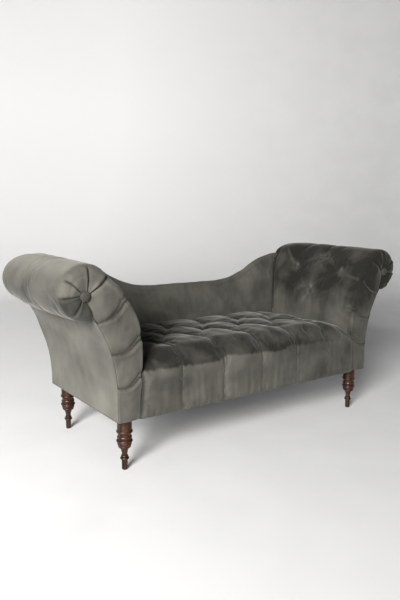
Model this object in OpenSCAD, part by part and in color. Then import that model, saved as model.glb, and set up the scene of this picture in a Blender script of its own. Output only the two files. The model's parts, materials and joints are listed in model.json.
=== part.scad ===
// Scroll-arm daybed: tufted seat, two out-swept scroll arms, ogee back, four turned legs.
// Origin on the floor under the middle; +X along the length, -Y the front, +Z up.

/* [Body] */
// Length of the base between the outside faces of the arms
base_length = 1480; // [1380:10:1620]
// Depth from the front face to the rear face
depth = 660; // [620:10:720]
// Height of the underside of the upholstered body above the floor
body_z = 220; // [200:5:240]
// Height of the seat's crown above the underside of the body
seat_rise = 272; // [262:2:290]
// Radius of the rounded front edge of the seat
seat_edge_r = 62; // [40:2:70]

/* [Arms] */
// Radius of the scroll at the top of each arm
scroll_r = 109; // [100:1:116]
// How far the scroll's centre stands outside the base
scroll_reach = 119; // [110:1:128]
// Height of the scroll's centre above the underside of the body
scroll_rise = 521; // [510:1:535]
// Thickness of the arm at its narrowest, level with the seat
arm_waist = 118; // [112:1:124]
// Height of the narrowest place above the underside of the body
waist_rise = 250; // [244:1:256]
// How much narrower the arm is at its foot than at its waist, on the seat side
foot_taper = 15; // [10:1:20]
// Radius of the outside face where it sweeps out under the scroll
outer_r = 550; // [530:5:570]
// Height above the underside of the body where that sweep starts
sweep_rise = 110; // [104:1:116]

/* [Back] */
// Thickness of the back with its padding
back_t = 74; // [66:1:82]
// Height of the back's top edge at the middle, above the underside of the body
back_rise = 428; // [418:2:436]
// How far the top edge climbs towards each arm
ogee_rise = 140; // [134:1:144]
// Half of the straight stretch in the middle of the top edge
ogee_start = 200; // [180:5:220]
// Length along which each side of the top edge climbs
ogee_run = 500; // [490:5:520]

/* [Tufting] */
// Distance between neighbouring buttons in a row of the seat
tuft_pitch = 221; // [210:1:230]
// Distance of the front row of buttons from the front face
tuft_front = 167; // [160:1:175]
// Distance between the rows of buttons
tuft_row = 137; // [130:1:140]
// Depth of a button's head below the seat's crown
tuft_depth = 26; // [20:1:30]
// Radius of a covered tufting button
button_r = 12; // [10:0.5:13]

/* [Materials] */
// Thickness of the velvet cover
cover_t = 2; // [1.5:0.5:2.5]
// Padding on the inside of the arms and round the scrolls
arm_pad_t = 18; // [16:1:20]
// Padding in front of the frame
front_pad_t = 12; // [10:1:14]
// Thickness of the scroll boards and of the back's rails and posts
board_t = 22; // [20:1:24]
// Thickness of the seat rails
rail_t = 28; // [25:1:30]
// Height of the seat rails
rail_h = 117; // [112:1:120]

/* [Hidden] */
$fn = 96;

// Clearance between neighbouring pieces of soft material, and the overshoot of a cutting tool
gap = 0.5;
over = 1;
left = -1;
right = 1;

// Colours
velvet = [0.34, 0.34, 0.31];
walnut = [0.24, 0.12, 0.06];
timber = [0.80, 0.66, 0.46];
steel = [0.62, 0.63, 0.65];
jute = [0.62, 0.52, 0.36];
foam = [0.90, 0.87, 0.76];
black_cloth = [0.10, 0.10, 0.10];

// Depths
front_y = -depth / 2;
rear_y = depth / 2;
front_frame_y = front_y + cover_t + front_pad_t;
rear_frame_y = rear_y - cover_t;
back_front_y = rear_y - back_t;
hessian_t = 1.5;
back_hessian_y = rear_frame_y - board_t - hessian_t;
front_inner_y = front_frame_y + board_t;
rear_inner_y = rear_frame_y - board_t;

// Arm outline in the plane of the length and the height, right arm
base_half = base_length / 2;
scroll_x = base_half + scroll_reach;
scroll_z = body_z + scroll_rise;
waist_x = base_half - arm_waist;
waist_z = body_z + waist_rise;
waist_to_scroll = scroll_x - waist_x;
waist_to_top = scroll_z - waist_z;
// Radius of the arc that starts upright at the waist and runs tangent into the scroll
inner_r = (pow(waist_to_scroll, 2) + pow(waist_to_top, 2) - pow(scroll_r, 2))
  / (2 * (waist_to_scroll - scroll_r));
inner_x = waist_x + inner_r;
tangent_a = 180 - atan2(waist_to_top, inner_x - scroll_x);
// Radius of the slow arc from the waist down to the foot
foot_r = (pow(foot_taper, 2) + pow(waist_rise, 2)) / (2 * foot_taper);
outer_x = base_half + outer_r;
outer_z = body_z + sweep_rise;
frame_inset = arm_pad_t + cover_t;

// Top edge of the back: two equal arcs on each side
back_z = body_z + back_rise;
ogee_r = (pow(ogee_run, 2) + pow(ogee_rise, 2)) / (4 * ogee_rise);
ogee_end = ogee_start + ogee_run;
hollow_z = back_z + ogee_r;
crown_z = back_z + ogee_rise - ogee_r;
ogee_floor_z = back_z - 110;
crest_inset = 18;
crest_h = 70;
crest_dowel_x = ogee_end + 31;
crest_dowel_z = back_z + ogee_rise - crest_inset - crest_h / 2;
// Rails of an arm: through the top of the scroll, on its outside, and below it (distances under its centre)
arm_rail_w = 76;
arm_rail_h = 28;
outer_slat_h = 60;
under_slat_low = 182;
under_slat_high = 130;
post_w = 60;
dust_inset = 10;

// Seat
rail_z = body_z + 3;
rail_top = rail_z + rail_h;
crown_top = body_z + seat_rise;
wire_r = 1.9;
spring_z = rail_top + 3;
tie_r = 1.5;
tie_z = spring_z + wire_r + tie_r;
deck_z = tie_z + tie_r + 0.1;
pad_z = deck_z + hessian_t;
edge_roll_r = 10;
edge_roll_y = front_frame_y + edge_roll_r;
lip_d = 40;
tack_z = rail_top + 12;
tack_h = 56;
spring_count = 8;
spring_pitch = 155;
spring_bends = 19;
spring_wave = 12;
spring_front_y = front_frame_y + rail_t - 1;
spring_rear_y = rear_frame_y - rail_t + 1;
clip_d = 10;
clip_w = 20;
clip_h = 6;
clip_t = 1;

// Legs
leg_x = base_half - 56;
leg_y = depth / 2 - 53;
glide_h = 3;
plate_w = 70;
plate_t = 3;
bolt_r = 4;
bolt_low = body_z - 45;
bolt_high = body_z + 38;
block_w = 52;
block_d = 60;
block_h = 60;
screw_r = 2.5;
screw_depth = 20;
dowel_r = 4;
dowel_l = 50;

// Buttons
button_t = 8;
button_z = crown_top - tuft_depth - button_t;
well_r = button_r + 3;
twine_r = 1.2;
twine_hole_r = 3;
scroll_button_r = 19.5;
scroll_button_x = scroll_x + 9;
scroll_button_z = scroll_z - 11;
scroll_button_t = 12;
// Arm buttons: angle up the inner arc and place along the depth
arm_tufts = [[18.5, 0], [33.4, -162], [33.4, 162], [47.3, 0]];
arm_button_sink = 10;

// Rows of the seat's buttons, as [x, y]
seat_tufts = concat(
  [for (i = [-2:2]) [i * tuft_pitch, front_y + tuft_front]],
  [for (i = [-2:1]) [(i + 0.5) * tuft_pitch, front_y + tuft_front + tuft_row]],
  [for (i = [-2:2]) [i * tuft_pitch, front_y + tuft_front + 2 * tuft_row]]
);

// ---------- helpers ----------

// Turns a length-height outline into a solid from y0 back to y1
module along_depth(y0, y1) {
  translate([0, y1, 0])
    rotate([90, 0, 0])
      linear_extrude(y1 - y0)
        children();
}

// Turns a depth-height outline into a solid from x0 to x1
module along_length(x0, x1) {
  translate([x0, 0, 0])
    rotate([90, 0, 90])
      linear_extrude(x1 - x0)
        children();
}

// Mirrors a right-hand piece to the left when asked
module on_side(side) {
  mirror([side == left ? 1 : 0, 0, 0])
    children();
}

// Box from one corner to the opposite corner
module span(low, high) {
  translate(low)
    cube(high - low);
}

// One copy of a piece at each leg
module at_legs() {
  for (x = [-leg_x, leg_x])
    for (y = [-leg_y, leg_y])
      translate([x, y, 0])
        children();
}

// Outline of the right arm, pulled in on the seat side and round the scroll, and on the outside
module arm_outline(inner = 0, outer = 0) {
  far = 1.4 * inner_r;
  difference() {
    union() {
      intersection() {
        translate([inner_x, waist_z])
          circle(r = inner_r - inner, $fn = 360);
        polygon([
          [inner_x, waist_z],
          [inner_x + far * cos(tangent_a), waist_z + far * sin(tangent_a)],
          [inner_x - far, waist_z + far * 0.4],
          [inner_x - far, waist_z]
        ]);
      }
      intersection() {
        translate([waist_x + foot_r, waist_z])
          circle(r = foot_r - inner, $fn = 720);
        translate([waist_x - frame_inset, body_z])
          square([frame_inset + arm_waist + far, waist_rise]);
      }
    }
    translate([outer_x, outer_z])
      circle(r = outer_r + outer, $fn = 360);
    translate([base_half - outer, body_z - over])
      square([outer_r, sweep_rise + over]);
  }
  translate([scroll_x, scroll_z])
    circle(r = scroll_r - inner, $fn = 180);
}

// Everything on the seat side of both arms' surfaces is kept; the arms themselves are cut away
module between_arms(y0, y1, clearance = gap) {
  difference() {
    children();
    for (side = [left, right])
      on_side(side)
        along_depth(y0 - over, y1 + over)
          arm_outline(-clearance, 0);
  }
}

// The same for the seat, which meets only the arms' foot arcs, carried on up past its crown
module between_feet() {
  difference() {
    children();
    for (side = [left, right])
      on_side(side)
        along_depth(front_y - over, rear_y + over)
          translate([waist_x + foot_r, waist_z])
            circle(r = foot_r + gap, $fn = 720);
  }
}

// Area under the back's top edge, lowered by drop, down to the level low
module under_ogee(drop, low = body_z) {
  reach = ogee_end + 60;
  // The two arcs of a side meet on the line between their centres
  slope = ogee_run / (hollow_z - crown_z);
  meet_low = ogee_start + slope * (hollow_z - ogee_floor_z);
  meet_high = ogee_start + slope * (hollow_z - back_z - ogee_rise);
  top = back_z + ogee_rise;
  if (low < ogee_floor_z)
    translate([-ogee_end, low])
      square([2 * ogee_end, ogee_floor_z - low]);
  for (side = [left, right])
    mirror([side == left ? 1 : 0, 0]) {
      difference() {
        polygon([[0, ogee_floor_z], [meet_low, ogee_floor_z], [meet_high, top], [0, top]]);
        translate([ogee_start, hollow_z])
          circle(r = ogee_r + drop, $fn = 360);
        translate([-over, back_z - drop])
          square([ogee_start + over, ogee_rise + drop]);
      }
      intersection() {
        polygon([[meet_low, ogee_floor_z], [reach, ogee_floor_z], [reach, top], [meet_high, top]]);
        translate([ogee_end, crown_z])
          circle(r = ogee_r - drop, $fn = 360);
      }
    }
}

// ---------- frame ----------

// Cuts the ends of a rail to the seat-side edge of the scroll boards
module between_boards(y0, y1) {
  difference() {
    children();
    for (side = [left, right])
      on_side(side)
        along_depth(y0 - over, y1 + over)
          arm_outline(frame_inset, -over);
  }
}

// The dowels of one corner between a seat rail and a scroll board
module rail_dowels(y) {
  for (side = [left, right])
    for (share = [0.3, 0.7])
      translate([side * (waist_x + frame_inset + foot_taper / 2), y, rail_z + share * rail_h])
        rotate([0, 90, 0])
          cylinder(r = dowel_r, h = dowel_l, center = true, $fn = 48);
}

// The dowels between the back's crest rail and the rear scroll boards
module crest_dowels() {
  for (side = [left, right])
    translate([side * crest_dowel_x, rear_frame_y - board_t / 2, crest_dowel_z])
      rotate([0, 90, 0])
        cylinder(r = dowel_r, h = dowel_l, center = true, $fn = 48);
}

module all_dowels() {
  rail_dowels(front_frame_y + board_t / 2);
  rail_dowels(rear_frame_y - board_t / 2);
  crest_dowels();
}

module frame_dowels() {
  color(timber)
    all_dowels();
}

module seat_rail(y0) {
  color(timber)
    difference() {
      between_boards(y0, y0 + rail_t)
        span([-base_half, y0, rail_z], [base_half, y0 + rail_t, rail_top]);
      all_dowels();
    }
}

module front_seat_rail() {
  seat_rail(front_frame_y);
}

module rear_seat_rail() {
  seat_rail(rear_frame_y - rail_t);
}

module side_seat_rail(side) {
  x1 = base_half - cover_t;
  color(timber)
    on_side(side)
      difference() {
        span([x1 - rail_t, front_inner_y, rail_z], [x1, rear_inner_y, rail_top]);
        block_screw_shanks();
      }
}

module left_seat_rail() {
  side_seat_rail(left);
}

module right_seat_rail() {
  side_seat_rail(right);
}

module seat_cross_rails() {
  color(timber)
    for (side = [left, right])
      translate([side * base_half / 3, 0, 0])
        span([-board_t / 2, front_frame_y + rail_t, rail_z],
          [board_t / 2, rear_frame_y - rail_t, rail_z + block_h]);
}

// Shanks of the right-hand corner blocks' screws
module block_screw_shanks() {
  x0 = base_half - cover_t - rail_t - block_w;
  for (y = [front_inner_y + block_d * 0.75, rear_inner_y - block_d * 0.75])
    for (share = [0.25, 0.75])
      translate([x0, y, rail_z + share * block_h])
        rotate([0, 90, 0])
          cylinder(r = screw_r, h = block_w + screw_depth, $fn = 36);
}

// Heads of the right-hand corner blocks' screws
module block_screw_heads() {
  x0 = base_half - cover_t - rail_t - block_w;
  for (y = [front_inner_y + block_d * 0.75, rear_inner_y - block_d * 0.75])
    for (share = [0.25, 0.75])
      translate([x0 - screw_r, y, rail_z + share * block_h])
        rotate([0, 90, 0])
          cylinder(r = 2 * screw_r, h = screw_r, $fn = 36);
}

module block_screws() {
  color(steel)
    for (side = [left, right])
      on_side(side) {
        block_screw_shanks();
        block_screw_heads();
      }
}

module corner_blocks() {
  x1 = base_half - cover_t - rail_t;
  color(timber)
    difference() {
      for (side = [left, right])
        on_side(side)
          difference() {
            union() {
              span([x1 - block_w, front_inner_y, rail_z], [x1, front_inner_y + block_d, rail_z + block_h]);
              span([x1 - block_w, rear_inner_y - block_d, rail_z], [x1, rear_inner_y, rail_z + block_h]);
            }
            block_screw_shanks();
          }
      at_legs()
        bolt_shank();
    }
}

module scroll_board(side, y0) {
  color(timber)
    difference() {
      on_side(side)
        intersection() {
          along_depth(y0, y0 + board_t)
            arm_outline(frame_inset, cover_t);
          span([0, y0 - over, rail_z], [scroll_x + scroll_r, y0 + board_t + over, scroll_z + scroll_r]);
        }
      all_dowels();
    }
}

module left_front_scroll_board() {
  scroll_board(left, front_frame_y);
}

module left_rear_scroll_board() {
  scroll_board(left, rear_inner_y);
}

module right_front_scroll_board() {
  scroll_board(right, front_frame_y);
}

module right_rear_scroll_board() {
  scroll_board(right, rear_inner_y);
}

// Slats between an arm's two boards: at the seat, under the scroll and round its outside
module arm_slats(side) {
  inset = frame_inset + hessian_t;
  color(timber)
    on_side(side) {
      intersection() {
        along_depth(front_inner_y, rear_inner_y)
          difference() {
            arm_outline(inset, cover_t);
            arm_outline(inset + board_t, cover_t - over);
          }
        span([waist_x, front_y, tack_z], [base_half, rear_y, tack_z + tack_h]);
      }
      intersection() {
        along_depth(front_inner_y, rear_inner_y)
          difference() {
            arm_outline(inset, cover_t);
            arm_outline(inset - over, cover_t + board_t);
          }
        span([base_half, front_y, scroll_z - under_slat_low], [scroll_x, rear_y, scroll_z - under_slat_high]);
      }
      intersection() {
        along_depth(front_inner_y, rear_inner_y)
          translate([scroll_x, scroll_z])
            circle(r = scroll_r - inset, $fn = 180);
        span([scroll_x + scroll_r - inset - board_t, front_y, scroll_z - outer_slat_h / 2],
          [scroll_x + scroll_r, rear_y, scroll_z + outer_slat_h / 2]);
      }
    }
}

module left_arm_slats() {
  arm_slats(left);
}

module right_arm_slats() {
  arm_slats(right);
}

module arm_crest_rail(side) {
  r = scroll_r - frame_inset - hessian_t;
  color(timber)
    on_side(side)
      intersection() {
        along_depth(front_inner_y, rear_inner_y)
          translate([scroll_x, scroll_z])
            circle(r = r, $fn = 180);
        span([scroll_x - arm_rail_w / 2, front_y, scroll_z + r - arm_rail_h],
          [scroll_x + arm_rail_w / 2, rear_y, scroll_z + r + over]);
      }
}

module left_arm_crest_rail() {
  arm_crest_rail(left);
}

module right_arm_crest_rail() {
  arm_crest_rail(right);
}

module back_crest_rail() {
  color(timber)
    difference() {
      between_boards(rear_inner_y, rear_frame_y)
        along_depth(rear_inner_y, rear_frame_y)
          difference() {
            under_ogee(crest_inset, ogee_floor_z);
            under_ogee(crest_inset + crest_h, ogee_floor_z - over);
          }
      crest_dowels();
    }
}

module back_posts() {
  color(timber)
    along_depth(rear_inner_y, rear_frame_y)
      intersection() {
        under_ogee(crest_inset + crest_h, rail_top);
        for (side = [left, right])
          translate([side * base_half / 3 - post_w / 2, rail_top])
            square([post_w, seat_rise + back_rise]);
      }
}

module back_tack_rails() {
  color(timber)
    difference() {
      between_boards(rear_inner_y, rear_frame_y)
        span([-base_half, rear_inner_y, tack_z], [base_half, rear_frame_y, tack_z + tack_h]);
      for (side = [left, right])
        translate([side * base_half / 3, 0, 0])
          span([-post_w / 2, rear_inner_y - over, tack_z - over],
            [post_w / 2, rear_frame_y + over, tack_z + tack_h + over]);
    }
}

// ---------- suspension ----------

// One zigzag spring: straight wires across, joined by half-round bends on alternate sides
module zigzag_spring() {
  pitch = (spring_rear_y - spring_front_y) / (spring_bends + 1);
  for (k = [0:spring_bends + 1])
    translate([0, spring_front_y + k * pitch, 0])
      rotate([0, 90, 0])
        cylinder(r = wire_r, h = 2 * spring_wave, center = true, $fn = 24);
  for (k = [0:spring_bends])
    translate([(k % 2 == 0 ? 1 : -1) * spring_wave, spring_front_y + (k + 0.5) * pitch, 0])
      rotate([0, 0, k % 2 == 0 ? -90 : 90])
        rotate_extrude(angle = 180, $fn = 36)
          translate([pitch / 2, 0])
            circle(r = wire_r, $fn = 24);
}

module seat_springs() {
  color(steel)
    for (i = [0:spring_count - 1])
      translate([(i - (spring_count - 1) / 2) * spring_pitch, 0, spring_z])
        zigzag_spring();
}

// A clip folded over the last wire of a spring, open towards the middle of the seat
module spring_clip() {
  along_length(-clip_w / 2 + over, clip_w / 2 - over)
    difference() {
      translate([-clip_d / 2, 0])
        square([clip_d, clip_h]);
      translate([-clip_d / 2 + 2 * clip_t, clip_t])
        square([clip_d, clip_h - 2 * clip_t]);
    }
}

module spring_clips() {
  color(steel)
    for (i = [0:spring_count - 1])
      translate([(i - (spring_count - 1) / 2) * spring_pitch, 0, rail_top]) {
        translate([0, spring_front_y, 0])
          spring_clip();
        translate([0, spring_rear_y, 0])
          mirror([0, 1, 0])
            spring_clip();
      }
}

module spring_tie_wires() {
  reach = (spring_count - 1) / 2 * spring_pitch + 2 * spring_wave;
  color(steel)
    for (y = [-depth / 6, depth / 6])
      translate([0, y, tie_z])
        rotate([0, 90, 0])
          cylinder(r = tie_r, h = 2 * reach, center = true, $fn = 24);
}

module seat_hessian() {
  color(jute)
    between_arms(front_y, rear_y)
      span([-base_half, front_inner_y, deck_z], [base_half, rear_inner_y - 5, pad_z]);
}

module arm_hessian(side) {
  color(jute)
    on_side(side)
      intersection() {
        along_depth(front_inner_y, rear_inner_y)
          difference() {
            arm_outline(frame_inset, cover_t);
            arm_outline(frame_inset + hessian_t, cover_t - over);
          }
        span([waist_x, front_y, tack_z], [scroll_x - scroll_r * 0.7, rear_y, scroll_z + scroll_r * 0.7]);
      }
}

module left_arm_hessian() {
  arm_hessian(left);
}

module right_arm_hessian() {
  arm_hessian(right);
}

module back_hessian() {
  color(jute)
    between_arms(back_hessian_y, rear_inner_y)
      along_depth(back_hessian_y, rear_inner_y)
        under_ogee(crest_inset + 2, tack_z);
}

// ---------- padding ----------

module seat_edge_roll() {
  color(jute)
    between_arms(front_y, rear_y)
      translate([-base_half, edge_roll_y, rail_top + edge_roll_r])
        rotate([0, 90, 0])
          cylinder(r = edge_roll_r, h = base_length, $fn = 48);
}

// Seat in the plane of the depth and the height, with its rounded front edge
module seat_outline(inset, rear = back_front_y - gap, low = body_z) {
  edge_z = crown_top - seat_edge_r;
  translate([front_y + inset, low])
    square([rear - front_y - inset, edge_z - low]);
  translate([front_y + seat_edge_r, edge_z - over])
    square([rear - front_y - seat_edge_r, seat_edge_r - inset + over]);
  translate([front_y + seat_edge_r, edge_z])
    circle(r = seat_edge_r - inset, $fn = 120);
}

// Wells that the seat's buttons are drawn down into
module seat_wells() {
  for (p = seat_tufts)
    translate([p[0], p[1], button_z])
      cylinder(r = well_r, h = button_t + tuft_depth + over, $fn = 48);
}

module seat_pad() {
  color(foam)
    difference() {
      between_feet()
        along_length(-base_half, base_half)
          difference() {
            seat_outline(cover_t);
            translate([front_frame_y, body_z - over])
              square([depth, pad_z - body_z + over]);
            translate([front_y, body_z - over])
              square([depth, cover_t + over]);
            translate([edge_roll_y, rail_top + edge_roll_r])
              circle(r = edge_roll_r + gap, $fn = 48);
          }
      seat_wells();
      for (p = seat_tufts)
        translate([p[0], p[1], pad_z - over])
          cylinder(r = twine_hole_r, h = button_z - pad_z + 2 * over, $fn = 36);
    }
}

// Wells that an arm's buttons are drawn into, square to the inner face
module arm_wells() {
  for (t = arm_tufts)
    at_arm_tuft(t)
      cylinder(r = well_r, h = arm_button_sink + button_t + over, $fn = 48);
}

// Puts a piece on the floor of an arm button's well, facing out of it
module at_arm_tuft(t) {
  translate([inner_x, t[1], waist_z])
    rotate([0, t[0], 0])
      translate([-(inner_r - arm_button_sink - button_t), 0, 0])
        rotate([0, -90, 0])
          children();
}

// Well in the front of the scroll, round the covered button
module scroll_well() {
  translate([scroll_button_x, front_frame_y, scroll_button_z])
    rotate([90, 0, 0])
      cylinder(r = scroll_button_r + 3, h = front_pad_t + cover_t + over, $fn = 72);
}

// What an arm's padding and cover leave free: the seat's end below the tack rail, the frame of
// the back, and the wells of the buttons
module arm_clearances() {
  span([0, front_frame_y, 0], [base_half - arm_waist / 2, rear_y, tack_z - over]);
  along_depth(back_hessian_y, rear_frame_y + over)
    intersection() {
      under_ogee(crest_inset - gap);
      square([2 * base_half, scroll_z + scroll_r]);
    }
  arm_wells();
  scroll_well();
}

module arm_pad(side) {
  color(foam)
    on_side(side)
      difference() {
        union() {
          along_depth(front_frame_y, rear_frame_y)
            difference() {
              arm_outline(cover_t, cover_t);
              arm_outline(frame_inset, cover_t - over);
            }
          along_depth(front_y + cover_t, front_frame_y)
            arm_outline(cover_t, cover_t);
        }
        arm_clearances();
      }
}

module left_arm_pad() {
  arm_pad(left);
}

module right_arm_pad() {
  arm_pad(right);
}

module back_pad() {
  color(foam)
    between_arms(back_front_y, rear_y) {
      along_depth(back_front_y + cover_t, back_hessian_y)
        under_ogee(cover_t, tack_z);
      along_depth(back_hessian_y, rear_frame_y)
        difference() {
          under_ogee(cover_t, ogee_floor_z);
          under_ogee(crest_inset, ogee_floor_z - over);
        }
    }
}

// ---------- covers ----------

module seat_cover() {
  color(velvet)
    difference() {
      between_feet()
        along_length(-base_half, base_half)
          difference() {
            seat_outline(0);
            difference() {
              seat_outline(cover_t, rear_y, body_z - over);
              translate([front_y, body_z - 2 * over])
                square([lip_d, cover_t + 2 * over]);
            }
          }
      seat_wells();
    }
}

module arm_cover(side) {
  color(velvet)
    on_side(side)
      difference() {
        union() {
          along_depth(front_y + cover_t, rear_frame_y)
            difference() {
              arm_outline(0, cover_t);
              arm_outline(cover_t, cover_t - over);
            }
          along_depth(front_y, front_y + cover_t)
            arm_outline(0, 0);
        }
        arm_clearances();
      }
}

module left_arm_cover() {
  arm_cover(left);
}

module right_arm_cover() {
  arm_cover(right);
}

module outer_arm_panel(side) {
  color(velvet)
    on_side(side)
      along_depth(front_y + cover_t, rear_frame_y)
        difference() {
          arm_outline(0, 0);
          arm_outline(-over, cover_t);
        }
}

module left_outer_arm_panel() {
  outer_arm_panel(left);
}

module right_outer_arm_panel() {
  outer_arm_panel(right);
}

module back_inner_cover() {
  color(velvet)
    between_arms(back_front_y, rear_y) {
      along_depth(back_front_y, back_front_y + cover_t)
        under_ogee(0, tack_z);
      along_depth(back_front_y + cover_t, rear_frame_y)
        difference() {
          under_ogee(0, ogee_floor_z);
          under_ogee(cover_t, ogee_floor_z - over);
        }
    }
}

module back_outer_panel() {
  color(velvet)
    along_depth(rear_frame_y, rear_y) {
      under_ogee(0);
      for (side = [left, right])
        mirror([side == left ? 1 : 0, 0])
          arm_outline(0, 0);
    }
}

module dust_cover() {
  color(black_cloth)
    difference() {
      span([-base_half + dust_inset, front_frame_y + cover_t, body_z + cover_t],
        [base_half - dust_inset, rear_frame_y - dust_inset, rail_z]);
      at_legs()
        span([-plate_w / 2 - over, -plate_w / 2 - over, 0],
          [plate_w / 2 + over, plate_w / 2 + over, rail_top]);
    }
}

// ---------- buttons ----------

// A covered button standing on its back, with a domed face
module covered_button(r, t, dome) {
  dome_r = (pow(r, 2) + pow(dome, 2)) / (2 * dome);
  rotate_extrude($fn = 60)
    intersection() {
      translate([0, t - dome_r])
        circle(r = dome_r, $fn = 120);
      square([r, t]);
    }
}

module seat_buttons() {
  color(velvet)
    for (p = seat_tufts)
      translate([p[0], p[1], button_z])
        covered_button(button_r, button_t, 4);
}

module seat_button_twines() {
  color(jute)
    for (p = seat_tufts)
      translate([p[0], p[1], pad_z])
        cylinder(r = twine_r, h = button_z - pad_z, $fn = 24);
}

module arm_buttons(side) {
  color(velvet)
    on_side(side)
      for (t = arm_tufts)
        at_arm_tuft(t)
          covered_button(button_r, button_t, 4);
}

module left_arm_buttons() {
  arm_buttons(left);
}

module right_arm_buttons() {
  arm_buttons(right);
}

module scroll_button(side) {
  color(velvet)
    on_side(side)
      translate([scroll_button_x, front_frame_y, scroll_button_z])
        rotate([90, 0, 0])
          covered_button(scroll_button_r, scroll_button_t, 6);
}

module left_scroll_button() {
  scroll_button(left);
}

module right_scroll_button() {
  scroll_button(right);
}

// ---------- legs ----------

// A half-round ring of a turned leg: greatest radius, middle height and half its height
module ring(r, z, half) {
  translate([r - half, z])
    circle(r = half, $fn = 60);
  translate([0, z - half])
    square([r - half, 2 * half]);
}

// A plain stretch of a turned leg, straight or tapered
module stretch(z0, r0, z1, r1) {
  polygon([[0, z0], [r0, z0], [r1, z1], [0, z1]]);
}

// Half of the turned leg's outline, from the foot up
module leg_outline() {
  neck_r = 11.2;
  flare_r = 20;
  flare_z = 62;
  flare_h = 33;
  // Arc that leaves the neck upright and opens to the flare's radius
  hollow_r = (pow(flare_r - neck_r, 2) + pow(flare_h, 2)) / (2 * (flare_r - neck_r));
  difference() {
    union() {
      stretch(glide_h, 11.5, 46, 12.4);
      ring(18.5, 48.5, 4.5);
      ring(15, 58, 4);
      stretch(45, 11.4, flare_z, neck_r);
      difference() {
        stretch(flare_z, flare_r, flare_z + flare_h, flare_r);
        translate([neck_r + hollow_r, flare_z])
          circle(r = hollow_r, $fn = 240);
      }
      ring(26, 99, 5);
      intersection() {
        translate([10, 112])
          circle(r = 19.3, $fn = 120);
        stretch(102, 40, 120, 40);
      }
      ring(33.5, 123, 5);
      stretch(126, 27.5, 132, 27.5);
      ring(30.5, 138.5, 8.5);
      stretch(145, 26.8, 154, 26.8);
      stretch(152, 27.5, 160, 32);
      ring(33.7, 163, 6);
      stretch(166, 30, body_z, 30);
    }
    translate([30.4, 184])
      circle(r = 1.5, $fn = 36);
  }
}

module bolt_shank() {
  translate([0, 0, bolt_low])
    cylinder(r = bolt_r, h = bolt_high - bolt_low, $fn = 48);
}

module leg(x_side, y_side) {
  color(walnut)
    translate([x_side * leg_x, y_side * leg_y, 0])
      difference() {
        rotate_extrude($fn = 96)
          leg_outline();
        bolt_shank();
      }
}

module front_left_leg() {
  leg(left, -1);
}

module front_right_leg() {
  leg(right, -1);
}

module rear_left_leg() {
  leg(left, 1);
}

module rear_right_leg() {
  leg(right, 1);
}

module leg_plates() {
  color(steel)
    at_legs()
      difference() {
        span([-plate_w / 2, -plate_w / 2, body_z], [plate_w / 2, plate_w / 2, body_z + plate_t]);
        bolt_shank();
      }
}

module hanger_bolts() {
  color(steel)
    at_legs()
      bolt_shank();
}

module foot_glides() {
  color(black_cloth)
    at_legs()
      cylinder(r = 10, h = glide_h, $fn = 48);
}

front_seat_rail();
rear_seat_rail();
left_seat_rail();
right_seat_rail();
seat_cross_rails();
corner_blocks();
left_front_scroll_board();
left_rear_scroll_board();
right_front_scroll_board();
right_rear_scroll_board();
left_arm_slats();
right_arm_slats();
left_arm_crest_rail();
right_arm_crest_rail();
back_crest_rail();
back_posts();
back_tack_rails();
frame_dowels();
block_screws();
seat_springs();
spring_clips();
spring_tie_wires();
seat_hessian();
left_arm_hessian();
right_arm_hessian();
back_hessian();
seat_edge_roll();
seat_pad();
left_arm_pad();
right_arm_pad();
back_pad();
seat_cover();
left_arm_cover();
right_arm_cover();
left_outer_arm_panel();
right_outer_arm_panel();
back_inner_cover();
back_outer_panel();
dust_cover();
seat_buttons();
seat_button_twines();
left_arm_buttons();
right_arm_buttons();
left_scroll_button();
right_scroll_button();
front_left_leg();
front_right_leg();
rear_left_leg();
rear_right_leg();
leg_plates();
hanger_bolts();
foot_glides();
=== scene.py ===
import json
import math

import bmesh
import bpy
import numpy as np
from mathutils import Matrix, Vector


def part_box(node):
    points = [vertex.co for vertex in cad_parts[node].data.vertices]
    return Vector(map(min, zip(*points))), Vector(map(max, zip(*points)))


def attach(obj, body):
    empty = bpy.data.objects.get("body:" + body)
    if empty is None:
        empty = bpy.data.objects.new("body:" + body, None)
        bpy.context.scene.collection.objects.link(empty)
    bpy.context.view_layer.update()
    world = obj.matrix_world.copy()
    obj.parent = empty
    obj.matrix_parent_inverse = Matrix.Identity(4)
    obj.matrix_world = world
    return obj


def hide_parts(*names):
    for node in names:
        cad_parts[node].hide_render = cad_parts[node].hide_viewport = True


# A tufted scroll-arm daybed. Metres; +X along the length, -Y the front, +Z up.

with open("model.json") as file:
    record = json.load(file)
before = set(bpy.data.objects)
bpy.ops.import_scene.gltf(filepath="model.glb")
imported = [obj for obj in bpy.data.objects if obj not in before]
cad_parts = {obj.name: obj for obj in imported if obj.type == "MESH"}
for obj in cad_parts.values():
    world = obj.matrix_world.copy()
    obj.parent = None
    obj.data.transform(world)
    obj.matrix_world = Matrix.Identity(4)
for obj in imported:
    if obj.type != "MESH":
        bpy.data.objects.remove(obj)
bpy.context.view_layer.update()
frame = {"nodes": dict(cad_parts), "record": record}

# ---------- driving dimensions ----------

seat_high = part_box("seat_cover")[1]
arm_low, arm_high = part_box("right_arm_cover")
back_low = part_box("back_inner_cover")[0]

FRONT = arm_low.y
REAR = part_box("back_outer_panel")[1].y
BODY_Z = arm_low.z
BASE_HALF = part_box("right_outer_arm_panel")[0].x + 0.002
CROWN_Z = seat_high.z
WAIST_X = arm_low.x
WAIST_Z = BODY_Z + 0.250
FOOT_TAPER = 0.015
SCROLL_R = 0.109
SCROLL_X = arm_high.x - SCROLL_R
SCROLL_Z = arm_high.z - SCROLL_R
SWEEP_RISE = 0.110
SWEEP_R = 0.550
SEAT_EDGE_R = 0.095
SEAT_WALL_X = 0.64

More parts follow.
